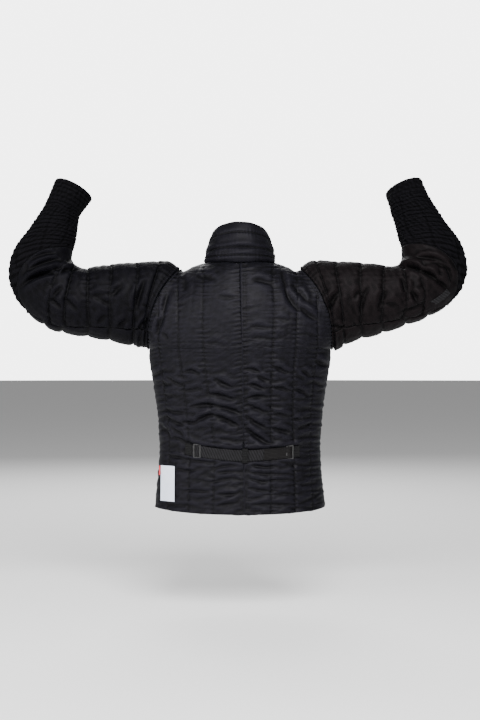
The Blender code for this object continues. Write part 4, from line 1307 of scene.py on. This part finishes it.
def lay_body(face, side):
    points = body_grid(face, side)
    wide = metres_across(points)
    tall = metres_along(points)
    to_side = wide[:, -1:] - wide
    relief = body_relief(face, side, points, to_side, tall)
    outward = np.array((0.0, 1.0 if face == "back" else -1.0, 0.0))
    # front and back are moved out the same way along the side seam, so that it stays closed
    steer = (smooth(0.030, 0.0, to_side) * smooth(-0.222, -0.240, points[..., 2]), (SIDES[side], 0.0, 0.0))
    return lay_cloth(f"{face}_{side}", points, outward, relief,
                     material_for("satin_body"), uv=(points[..., 0], points[..., 2]),
                     steer=steer)


def arm_outward(side, along, turn, points):
    axis = (sleeve_point(side, along, turn * 0) + sleeve_point(side, along, turn * 0 + 0.5)) / 2
    return points - axis


def lay_upper_sleeve(side):
    step, part = spread((160, 120), (0, 1), (-1, 1))
    along = step * forearm_edge(np.abs(part))
    turn = (0.5 - under_half_turn(along)) * part
    points = sleeve_point(side, along, turn)
    wide, tall = metres_across(points), metres_along(points)
    to_seam = np.minimum(wide, wide[:, -1:] - wide)
    relief = sleeve_relief(side, points, along, turn, tall, to_seam, tall[-1:] - tall)
    outward = arm_outward(side, along, turn, points)
    return lay_cloth(f"sleeve_{side}", points, outward, relief,
                     material_for(f"satin_sleeve_{side}"), uv=(wide, tall))


def lay_under_strip(side):
    along, part = spread((140, 36), (0, UNDER_PANEL_END), (-1, 1))
    turn = 0.5 + under_half_turn(along) * part
    points = sleeve_point(side, along, turn)
    wide, tall = metres_across(points), metres_along(points)
    relief = under_relief(side, points, along, np.minimum(wide, wide[:, -1:] - wide), tall)
    outward = arm_outward(side, along, turn, points)
    return lay_cloth(f"under_strip_{side}", points, outward, relief,
                     material_for(f"satin_sleeve_{side}"), uv=(wide, tall))


def lay_forearm(side):
    step, turn = spread((160, 140), (0, 1), (-0.5, 0.5))
    half = float(under_half_turn(UNDER_PANEL_END))
    part = np.minimum(np.abs(turn) / (0.5 - half), 1.0)
    start = forearm_edge(part)
    along = start + (CUFF_START - start) * step
    points = sleeve_point(side, along, turn)
    tall = metres_along(points)
    relief = rib_relief(side, points, along, turn % 1.0, np.minimum(tall, tall[-1:] - tall))
    outward = arm_outward(side, along, turn, points)
    return lay_cloth(f"forearm_{side}", points, outward, relief,
                     material_for("ribbed_matt"), uv=(metres_across(points), tall))


def lay_cuff(side):
    along, turn = spread((40, 120), (CUFF_START, CUFF_END), (-0.5, 0.5))
    points = sleeve_point(side, along, turn)
    relief = cuff_relief(side, along, turn)
    outward = arm_outward(side, along, turn, points)
    return lay_cloth(f"cuff_{side}", points, outward, relief,
                     material_for("ribbed_matt"),
                     uv=(metres_across(points), metres_along(points)))


def lay_collar():
    height, angle = spread((70, 200), (0, 1), (np.pi, 3 * np.pi))
    points = collar_point(height, angle)
    relief = collar_relief(height, angle)
    outward = joined(np.sin(angle), np.cos(angle), 0 * angle)
    return lay_cloth("collar", points, outward, relief,
                     material_for("satin_body"),
                     uv=(metres_across(points), metres_along(points)))


# ---- strap, buckles and labels, laid on the cloth ----


def tree_of(face):
    """The laid cloth of one face of the body, ready for looking up."""
    if face not in Cloth.trees:
        verts, faces = [], []
        for side in SIDES:
            grid = Cloth.made[f"{face}_{side}"].points
            rows, columns = grid.shape[:2]
            start = len(verts)
            verts.extend(Vector(v) for v in grid.reshape(-1, 3))
            for row in range(rows - 1):
                first = start + row * columns
                faces.extend((first + c, first + c + 1, first + columns + c + 1, first + columns + c)
                             for c in range(columns - 1))
        Cloth.trees[face] = BVHTree.FromPolygons(verts, faces)
    return Cloth.trees[face]


def on_body(face, x, z):
    """Points and outward directions on the laid body cloth at places across and up."""
    x, z = np.broadcast_arrays(np.asarray(x, float), np.asarray(z, float))
    tree = tree_of(face)
    way = 1.0 if face == "back" else -1.0
    points, normals = [], []
    for across, height in zip(x.ravel(), z.ravel()):
        found, normal, _, _ = tree.ray_cast(Vector((across, way, height)), Vector((0, -way, 0)), 1.0)
        if found is None:
            found, normal, _, _ = tree.find_nearest(Vector((across, 0.02 * way, height)))
        points.append(found)
        normals.append(normal if normal.y * way > 0 else -normal)
    return np.array(points).reshape(*x.shape, 3), np.array(normals).reshape(*x.shape, 3)


def smooth_rows(values, times):
    for _ in range(times):
        values = values.copy()
        values[:, 1:-1] = (values[:, :-2] + 2 * values[:, 1:-1] + values[:, 2:]) / 4
    return values


def strap_middle(x):
    return table_value(STRAP_TABLE, "x", "z", x)


def strap_cloth_y(x, rise):
    """Outward place of the strap: drawn flat over the cloth's small relief."""
    point, _ = on_body("back", x, strap_middle(x) + rise)
    return point[..., 1]


def lay_strap_run(node, span, rises, lift, material, extra=None):
    count = max(6, round((span[1] - span[0]) / 0.0016))
    x = np.linspace(span[0], span[1], count + 1)
    rise = np.linspace(rises[0], rises[1], 9)
    x, rise = np.meshgrid(x, rise, indexing="xy")
    depth = strap_cloth_y(x, rise)
    taut = np.broadcast_to(depth.max(axis=0), depth.shape)
    depth = smooth_rows(taut, 12) * 0.6 + smooth_rows(depth, 12) * 0.4
    points = joined(x, depth + lift + (0 if extra is None else extra(x, rise)), strap_middle(x) + rise)
    edge = 0.5 * (rises[1] - rises[0]) - np.abs(rise - 0.5 * (rises[0] + rises[1]))
    points[..., 1] -= 0.0006 * bump(edge, 0.0012)
    outward = np.array((0.0, 1.0, 0.0))
    normals = grid_normals(points, outward)
    piece = lay_mesh(f"{node}_cloth", points, normals, material, WEBBING_WALL)
    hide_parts(node)
    float(metres_across(points)[:, -1].max())
    return piece


def soften(bm, edges, width, segments=2):
    bmesh.ops.bevel(bm, geom=edges, offset=width, segments=segments, profile=0.5, affect="EDGES",
                    material=-1, clamp_overlap=True)


def cut_buckle(name, x, lift):
    """Slide buckle: a rounded plate with two slots left by a middle bar."""
    width, height, thickness = BUCKLE_SIZE
    slot_width, slot_height = BUCKLE_SLOT
    bm = bmesh.new()
    xs = (-width / 2, -slot_width - BUCKLE_BAR / 2, -BUCKLE_BAR / 2, BUCKLE_BAR / 2,
          slot_width + BUCKLE_BAR / 2, width / 2)
    zs = (-height / 2, -slot_height / 2, slot_height / 2, height / 2)
    grid = bmesh.ops.create_grid(bm, x_segments=len(xs) - 1, y_segments=len(zs) - 1, size=0.5)["verts"]
    for vert in grid:
        column = round((vert.co.x + 0.5) * (len(xs) - 1))
        row = round((vert.co.y + 0.5) * (len(zs) - 1))
        vert.co = (xs[column], 0.0, zs[row])
    slots = [
        face for face in bm.faces
        if abs(face.calc_center_median().z) < slot_height / 2
        and BUCKLE_BAR / 2 < abs(face.calc_center_median().x) < slot_width + BUCKLE_BAR / 2
    ]
    bmesh.ops.delete(bm, geom=slots, context="FACES")
    raised = bmesh.ops.extrude_face_region(bm, geom=bm.faces[:])["geom"]
    for item in raised:
        if isinstance(item, bmesh.types.BMVert):
            item.co.y = thickness
    bmesh.ops.recalc_face_normals(bm, faces=bm.faces[:])
    corners = [edge for edge in bm.edges
               if all(abs(abs(v.co.x) - width / 2) < 1e-6 and abs(abs(v.co.z) - height / 2) < 1e-6
                      for v in edge.verts)]
    soften(bm, corners, 0.0022, 3)
    rims = [edge for edge in bm.edges if len(edge.link_faces) == 2 and edge.calc_face_angle(0) > 0.9]
    soften(bm, rims, 0.0006, 2)
    middle, outward = on_body("back", np.array([x]), strap_middle(np.array([x])))
    middle, outward = middle[0], outward[0]
    heading = math.atan2(-outward[0], outward[1]) * 0.8
    bmesh.ops.rotate(bm, verts=bm.verts[:], cent=(0, 0, 0), matrix=Matrix.Rotation(heading, 3, "Z"))
    bmesh.ops.translate(bm, verts=bm.verts[:], vec=(x, middle[1] + lift, float(strap_middle(x))))
    mesh = bpy.data.meshes.new(name)
    bm.to_mesh(mesh)
    bm.free()
    mesh.shade_smooth()
    mesh.set_sharp_from_angle(angle=math.radians(50))
    return finish_piece(name, mesh, material_for("buckle_plastic"))


def lay_patch(node, xs, zs, lift, material, steps):
    x = np.linspace(xs[0], xs[1], steps[0] + 1)
    z = np.linspace(zs[1], zs[0], steps[1] + 1)
    x, z = np.meshgrid(x, z, indexing="xy")
    points, _ = on_body("back", x, z)
    points[..., 1] = smooth_rows(smooth_rows(points, 40).swapaxes(0, 1), 60).swapaxes(0, 1)[..., 1]
    points[..., 0], points[..., 2] = x, z
    normals = grid_normals(points, np.array((0.0, 1.0, 0.0)))
    points = points + normals * lift
    piece = lay_mesh(f"{node}_cloth", points, normals, material, LABEL_WALL)
    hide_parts(node)
    width, length, area = cut_size(points)
    return piece


# ---- stitches ----


def stitch_line(bm_total, points, normals, pitch=STITCH_PITCH, size=STITCH_SIZE, lift=-0.0001):
    """Sew one row of stitches along a line of points lying on the cloth."""
    points, normals = np.asarray(points), np.asarray(normals)
    steps = np.linalg.norm(np.diff(points, axis=0), axis=-1)
    run = np.concatenate([[0.0], np.cumsum(steps)])
    if run[-1] < 2 * pitch:
        return
    row = bmesh.new()
    for place in np.arange(pitch / 2, run[-1], pitch):
        ends = [np.array([np.interp(place + d, run, points[:, k]) for k in range(3)])
                for d in (-size[0] / 2, size[0] / 2)]
        along = Vector(ends[1] - ends[0])
        if along.length < 1e-5:
            continue
        up = Vector([np.interp(place, run, normals[:, k]) for k in range(3)]).normalized()
        along.normalize()
        side = up.cross(along).normalized()
        up = along.cross(side)
        centre = Vector((ends[0] + ends[1]) / 2) + up * lift
        turn = Matrix((along * size[0], side * size[1], up * size[2])).transposed().to_4x4()
        bmesh.ops.create_cube(row, size=1.0, matrix=Matrix.Translation(centre) @ turn)
    mesh = bpy.data.meshes.new("row")
    row.to_mesh(mesh)
    row.free()
    bm_total.from_mesh(mesh)
    bpy.data.meshes.remove(mesh)


def finish_stitches(name, bm):
    """Make one piece of a group of rows of stitches."""
    mesh = bpy.data.meshes.new(name)
    bm.to_mesh(mesh)
    bm.free()
    mesh.shade_smooth()
    return finish_piece(name, mesh, material_for("thread_dark"))


def grid_line(cloth, rows, columns):
    return cloth.at(np.asarray(rows, float), np.asarray(columns, float))


def body_line_columns(face, side, offset_line):
    """Rows and columns of the panel's grid that follow a vertical line given as x by z."""
    cloth = Cloth.made[f"{face}_{side}"]
    sign = SIDES[side]
    across = cloth.base[..., 0] * sign
    height = cloth.base[..., 2]
    rows, columns = [], []
    for row in range(across.shape[0]):
        target = offset_line(height[row].mean())
        if target is None or target < across[row, 0] or target > across[row, -1]:
            continue
        column = np.interp(target, across[row], np.arange(across.shape[1]))
        rows.append(row)
        columns.append(column)
    return cloth, rows, columns


def columns_at(wide, rows, distance):
    """Column of each row of a grid at a distance across; a negative one counts from the far edge."""
    every = np.arange(wide.shape[1])
    found = []
    for row in rows:
        place = wide[row, -1] + distance if distance < 0 else distance
        found.append(np.interp(place, wide[row], every))
    return found


def rows_at(tall, columns, distance):
    """Row of each column of a grid at a distance down; a negative one counts from the far edge."""
    return columns_at(tall.T, columns, distance)


def sew_body(face):
    bm = bmesh.new()
    for side, sign in SIDES.items():
        for line in BODY_LINES[face][side]:
            def place(z, line=line):
                top = line["z"][0]
                if z > top or z < -HEM_DROP + HEM_STITCH_INSET:
                    return None
                return float(np.interp(-z, [-v for v in line["z"]], line["x"]))
            cloth, rows, columns = body_line_columns(face, side, place)
            if len(rows) > 4:
                stitch_line(bm, *grid_line(cloth, rows, columns))
        offsets = [0.0030]
        if face == "back" and side == "right":
            offsets.append(0.0110)
        if face == "front":
            offsets = []
        for offset in offsets:
            def beside(z, offset=offset):
                middle = float(back_seam(z))
                wide = offset if z > -0.51 else (0.5 * SEAM_BAND_WIDTH if offset < 0.005 else None)
                return None if wide is None else middle * sign + wide
            cloth, rows, columns = body_line_columns(face, side, beside)
            stitch_line(bm, *grid_line(cloth, rows, columns))
        cloth = Cloth.made[f"{face}_{side}"]
        wide = metres_across(cloth.base)
        tall = metres_along(cloth.base)
        last_row, last_column = wide.shape[0] - 1, wide.shape[1] - 1
        for inset in ARMHOLE_STITCH_INSETS:
            rows = np.arange(2, last_row * YOKE_ROWS // ALL_ROWS)
            stitch_line(bm, *grid_line(cloth, rows, columns_at(wide, rows, -inset)))
        columns = np.arange(1, last_column)
        stitch_line(bm, *grid_line(cloth, rows_at(tall, columns, -HEM_STITCH_INSET), columns))
    return finish_stitches(f"stitches_{face}", bm)


def sew_sleeve(side):
    bm = bmesh.new()
    cloth = Cloth.made[f"sleeve_{side}"]
    rows_total, columns_total = cloth.base.shape[0] - 1, cloth.base.shape[1] - 1
    part = np.linspace(-1, 1, columns_total + 1)
    for index in range(6):
        rows, columns = [], []
        for column in range(2, columns_total - 1):
            edge = float(forearm_edge(abs(part[column])))
            guess = 3.0
            for _ in range(6):
                turn = (0.5 - float(under_half_turn(guess))) * part[column]
                guess = float(line_place(side, index, np.array(turn)))
            row = guess / edge * rows_total
            if 2 < row < rows_total - 3 and guess < 6.3:
                rows.append(row)
                columns.append(column)
        if len(rows) > 8:
            stitch_line(bm, *grid_line(cloth, rows, columns))
    tall = metres_along(cloth.base)
    columns = np.arange(1, columns_total)
    for inset in ARMHOLE_STITCH_INSETS:
        stitch_line(bm, *grid_line(cloth, rows_at(tall, columns, inset), columns))
    wide = metres_across(cloth.base)
    rows = np.arange(4, rows_total - 2)
    for distance in (SEAM_STITCH_INSET, -SEAM_STITCH_INSET):
        stitch_line(bm, *grid_line(cloth, rows, columns_at(wide, rows, distance)))
    columns = np.arange(2, columns_total - 1)
    stitch_line(bm, *grid_line(cloth, rows_at(tall, columns, -ELBOW_STITCH_INSET), columns))
    return finish_stitches(f"stitches_sleeve_{side}", bm)


def sew_collar():
    bm = bmesh.new()
    cloth = Cloth.made["collar"]
    rows_total, columns_total = cloth.base.shape[0] - 1, cloth.base.shape[1] - 1
    angle = np.linspace(np.pi, 3 * np.pi, columns_total + 1)
    drop = 0.03 * (1 - np.abs(np.cos(angle)))
    for line in (*COLLAR_LINES, 0.965):
        rows = (line - drop * (line < 0.9)) * rows_total
        stitch_line(bm, *grid_line(cloth, rows, np.arange(columns_total + 1)), pitch=0.0042)
    return finish_stitches("stitches_collar", bm)


# ---- settings ----


class JacketColours(PropertyGroup):
    satin: FloatVectorProperty(
        name="Satin", description="Base colour of the satin-faced cloth", subtype="COLOR", size=3,
        min=0.0, max=1.0, default=(0.0024, 0.0022, 0.0036),
    )
    satin_roughness: FloatProperty(
        name="Satin roughness", description="How dull the satin-faced cloth is", subtype="FACTOR",
        min=0.1, max=1.0, default=0.55,
    )
    ribbed: FloatVectorProperty(
        name="Ribbed cloth", description="Base colour of the matt forearms", subtype="COLOR", size=3,
        min=0.0, max=1.0, default=(0.0014, 0.0013, 0.0017),
    )
    webbing: FloatVectorProperty(
        name="Webbing", description="Base colour of the waist strap", subtype="COLOR", size=3,
        min=0.0, max=1.0, default=(0.0030, 0.0028, 0.0034),
    )
    label: FloatVectorProperty(
        name="Label", description="Colour of the blank label", subtype="COLOR", size=3,
        min=0.0, max=1.0, default=(0.72, 0.77, 0.90),
    )


class JacketStage(PropertyGroup):
    floor_height: FloatProperty(
        name="Floor height", description="Height of the floor below the neck opening", subtype="DISTANCE",
        unit="LENGTH", default=-0.93,
    )
    camera_distance: FloatProperty(
        name="Camera distance", description="Distance of the camera behind the jacket", subtype="DISTANCE",
        unit="LENGTH", min=0.5, default=3.5,
    )
    camera_height: FloatProperty(
        name="Camera height", description="Height of the camera, level with the middle of the picture",
        subtype="DISTANCE", unit="LENGTH", default=-0.2592,
    )
    lens: FloatProperty(
        name="Lens", description="Focal length of the camera", subtype="DISTANCE_CAMERA",
        min=10.0, default=64.8,
    )
    key_power: FloatProperty(
        name="Key light", description="Power of the soft light above the camera", subtype="POWER",
        min=0.0, default=330.0,
    )
    world_strength: FloatProperty(
        name="Surroundings", description="Brightness of the pale surroundings", subtype="FACTOR",
        min=0.0, soft_max=3.0, max=20.0, default=0.32,
    )


# ---- operators ----


class LayBody(Operator):
    """Lay the quilted back and front panels"""

    bl_idname = "jacket.lay_body"
    bl_label = "Back and front"

    def execute(self, context):
        for face in ("back", "front"):
            for side in SIDES:
                lay_body(face, side)
        return {"FINISHED"}


class LaySleeves(Operator):
    """Lay the upper sleeves and the strips under the arms"""

    bl_idname = "jacket.lay_sleeves"
    bl_label = "Upper sleeves"

    def execute(self, context):
        for side in SIDES:
            lay_upper_sleeve(side)
            lay_under_strip(side)
        return {"FINISHED"}


class LayForearms(Operator):
    """Lay the ribbed forearms and cuffs"""

    bl_idname = "jacket.lay_forearms"
    bl_label = "Forearms and cuffs"

    def execute(self, context):
        for side in SIDES:
            lay_forearm(side)
            lay_cuff(side)
        return {"FINISHED"}


class LayCollar(Operator):
    """Lay the stand collar with its rolled bands"""

    bl_idname = "jacket.lay_collar"
    bl_label = "Collar"

    def execute(self, context):
        lay_collar()
        return {"FINISHED"}


class LayClosure(Operator):
    """Lay the flap over the front opening and the collar's tab"""

    bl_idname = "jacket.lay_closure"
    bl_label = "Front closure"

    def execute(self, context):
        lay_front_flap()
        lay_collar_tab()
        return {"FINISHED"}


def lay_front_flap():
    low = -HEM_DROP - HEM_CENTRE_DROP + 0.006
    z, x = spread((160, 16), (FLAP_TOP, low), (-0.5 * FLAP_WIDTH, 0.5 * FLAP_WIDTH))
    points, _ = on_body("front", x, z)
    points = smooth_rows(smooth_rows(points, 30).swapaxes(0, 1), 10).swapaxes(0, 1)
    run = metres_along(points)
    edge = 0.5 * FLAP_WIDTH - np.abs(x)
    relief = 0.0034 + 0.0008 * bump(edge - 0.006, 0.005) - 0.0008 * bump(edge - 0.0105, 0.0016)
    relief += 0.0007 * soft_noise(x, z, 210, (0.05, 0.03)) - 0.0012 * bump(edge, 0.0016)
    relief += 0.0005 * puckers(run, edge - 0.0105, 212, 0.012, 0.012)
    return lay_cloth("front_flap", points, np.array((0.0, -1.0, 0.0)), relief,
                     material_for("satin_body"), uv=(x, z))


def lay_collar_tab():
    reach = COLLAR_TAB_HALF_ANGLE
    height, angle = spread((30, 40), COLLAR_TAB_HEIGHT, (-reach, reach))
    points = collar_point(height, np.pi + angle)
    edge = np.minimum(np.minimum(angle + reach, reach - angle) * COLLAR_RADIUS,
                      np.minimum(height - COLLAR_TAB_HEIGHT[0], COLLAR_TAB_HEIGHT[1] - height) * COLLAR_TALL)
    relief = 0.0062 + 0.0008 * bump(edge - 0.005, 0.004) - 0.0007 * bump(edge - 0.0085, 0.0016)
    uneven = soft_noise(angle * COLLAR_RADIUS, height * COLLAR_TALL, 220, (0.03, 0.02))
    relief += 0.0005 * uneven - 0.0010 * bump(edge, 0.0015)
    outward = joined(-np.sin(angle), -np.cos(angle), 0 * angle)
    return lay_cloth("collar_tab", points, outward, relief,
                     material_for("satin_body"))


class LayStrap(Operator):
    """Lay the waist strap, its anchors, loop and slide buckles"""

    bl_idname = "jacket.lay_strap"
    bl_label = "Waist strap"

    def execute(self, context):
        half = 0.5 * STRAP_WIDTH
        thickness = BUCKLE_SIZE[2]
        bars = tuple(BUCKLE_CENTRES.values())

        def over_bars(x, rise):
            lift = sum(bump(x - bar, 0.0042) for bar in bars)
            return lift * (thickness + 0.0006) - 0.0006 * lift * np.abs(rise / half) ** 4

        for name, finish in (("strap_anchor_left", "webbing_anchor"), ("waist_strap", "webbing_ribbed"),
                             ("strap_tail", "webbing_tail"), ("strap_anchor_right", "webbing_anchor")):
            lay_strap_run(name, STRAP_SPANS[name], (-half, half), 0.0026,
                          material_for(finish), over_bars)
        reach = half + 0.0040
        lay_strap_run("strap_loop", STRAP_LOOP_SPAN, (-reach, reach), 0.0048,
                      material_for("webbing_anchor"))
        for name, x in BUCKLE_CENTRES.items():
            buckle = cut_buckle(f"{name}_plate", x, 0.0022)
            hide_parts(name)
        return {"FINISHED"}


class LayLabels(Operator):
    """Lay the blank side label, the red tab and the elbow loop"""

    bl_idname = "jacket.lay_labels"
    bl_label = "Labels and elbow loop"

    def execute(self, context):
        lay_patch("side_label", LABEL_X, LABEL_Z, 0.0030,
                  material_for("label_white"), (30, 60))
        lay_red_tab()
        lay_elbow_loop()
        return {"FINISHED"}


def lay_red_tab():
    """Red tape caught in the side seam: it stands out straight from the cloth's edge."""
    low, high = (np.array(corner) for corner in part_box("red_tab"))
    x = np.linspace(low[0], high[0], 7)
    z = np.linspace(high[2], low[2], 17)
    x, z = np.meshgrid(x, z, indexing="xy")
    part = (x - low[0]) / (high[0] - low[0])
    root, _ = on_body("back", 0 * x + LABEL_X[1] - 0.002, z)
    points = joined(x + 0.0012 * part, root[..., 1] + 0.0015 + 0.0004 * np.sin(z * 260.0), z)
    normals = grid_normals(points, np.array((0.0, 1.0, 0.0)))
    piece = lay_mesh("red_tab_cloth", points, normals, material_for("tape_red"), LABEL_WALL)
    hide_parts("red_tab")
    width, length, area = cut_size(points)
    return piece


def lay_elbow_loop():
    turn, along = spread((20, 50), ELBOW_LOOP_TURN, ELBOW_LOOP_ALONG)
    points = sleeve_point("right", along, turn)
    outward = arm_outward("right", along, turn, points)
    part = np.linspace(0, 1, along.shape[1])[None, :]
    relief = 0.0026 + 0.0016 * np.sin(np.pi * part) + 0 * turn
    normals = grid_normals(points, outward)
    points = points + normals * relief[..., None]
    piece = lay_mesh("elbow_loop_right_cloth", points, normals, material_for("webbing_ribbed"),
                     WEBBING_WALL)
    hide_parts("elbow_loop_right")
    width, length, area = cut_size(points)
    return piece


class SewStitches(Operator):
    """Sew the visible rows of stitches"""

    bl_idname = "jacket.sew_stitches"
    bl_label = "Stitches"

    def execute(self, context):
        for face in ("back", "front"):
            sew_body(face)
        for side in SIDES:
            sew_sleeve(side)
        sew_collar()
        return {"FINISHED"}


class SetStage(Operator):
    """Set the pale floor, soft lights and camera"""

    bl_idname = "jacket.set_stage"
    bl_label = "Stage"

    def execute(self, context):
        stage = context.scene.jacket_stage
        bm = bmesh.new()
        bmesh.ops.create_circle(bm, cap_ends=True, segments=96, radius=FLOOR_RADIUS)
        bmesh.ops.translate(bm, verts=bm.verts[:], vec=(0, 0, stage.floor_height))
        mesh = bpy.data.meshes.new("floor")
        bm.to_mesh(mesh)
        bm.free()
        floor = bpy.data.objects.new("floor", mesh)
        context.scene.collection.objects.link(floor)
        material, _, shader = new_material("floor_pale")
        shader.inputs["Roughness"].default_value = 0.9
        shader.inputs["Base Color"].default_value = FLOOR_COLOUR
        mesh.materials.append(material)
        world = bpy.data.worlds.new("pale")
        world.use_nodes = True
        background = world.node_tree.nodes["Background"]
        background.inputs[0].default_value = (1.0, 1.0, 1.0, 1.0)
        background.inputs[1].default_value = stage.world_strength
        seen = world.node_tree.nodes.new("ShaderNodeLightPath")
        strength = add_range(world.node_tree, seen.outputs["Is Camera Ray"], 0.0, 1.0,
                             stage.world_strength, BACKDROP_STRENGTH)
        world.node_tree.links.new(strength, background.inputs[1])
        context.scene.world = world
        middle = Vector(LAMP_TARGET)
        for name, (place, size, share) in LAMPS.items():
            light = bpy.data.lights.new(name, "AREA")
            light.size = size
            light.energy = stage.key_power * share
            lamp = bpy.data.objects.new(name, light)
            context.scene.collection.objects.link(lamp)
            lamp.location = place
            lamp.rotation_euler = (middle - Vector(place)).to_track_quat("-Z", "Y").to_euler()
        camera = bpy.data.cameras.new("camera")
        camera.lens = stage.lens
        camera.sensor_width = 36.0
        camera.clip_end = 200.0
        eye = bpy.data.objects.new("camera", camera)
        context.scene.collection.objects.link(eye)
        eye.location = (0.0, stage.camera_distance, stage.camera_height)
        eye.rotation_euler = (math.radians(90), 0.0, math.radians(180))
        context.scene.camera = eye
        return {"FINISHED"}


class JACKET_PT_pieces(Panel):
    """Lists the jacket's pieces and settings"""

    bl_label = "Fencing Jacket"
    bl_space_type = "VIEW_3D"
    bl_region_type = "UI"
    bl_category = "Fencing Jacket"

    def draw(self, context):
        layout = self.layout
        for group in (context.scene.jacket_colours, context.scene.jacket_stage):
            box = layout.box()
            for key in group.__annotations__:
                box.prop(group, key)
        for operator in OPERATORS:
            layout.operator(operator.bl_idname)


OPERATORS = (LayBody, LaySleeves, LayForearms, LayCollar, LayClosure, LayStrap, LayLabels,
             SewStitches, SetStage)
GROUPS = {"jacket_colours": JacketColours, "jacket_stage": JacketStage}


def register():
    for group in GROUPS.values():
        bpy.utils.register_class(group)
    for operator in OPERATORS:
        bpy.utils.register_class(operator)
    bpy.utils.register_class(JACKET_PT_pieces)
    for key, group in GROUPS.items():
        setattr(bpy.types.Scene, key, PointerProperty(type=group))


def unregister():
    for key in GROUPS:
        delattr(bpy.types.Scene, key)
    bpy.utils.unregister_class(JACKET_PT_pieces)
    for operator in reversed(OPERATORS):
        bpy.utils.unregister_class(operator)
    for group in GROUPS.values():
        bpy.utils.unregister_class(group)


def main():
    register()
    bpy.ops.jacket.lay_body()
    bpy.ops.jacket.lay_sleeves()
    bpy.ops.jacket.lay_forearms()
    bpy.ops.jacket.lay_collar()
    bpy.ops.jacket.lay_closure()
    bpy.ops.jacket.lay_strap()
    bpy.ops.jacket.lay_labels()
    bpy.ops.jacket.sew_stitches()
    bpy.ops.jacket.set_stage()


if __name__ == "__main__":
    main()
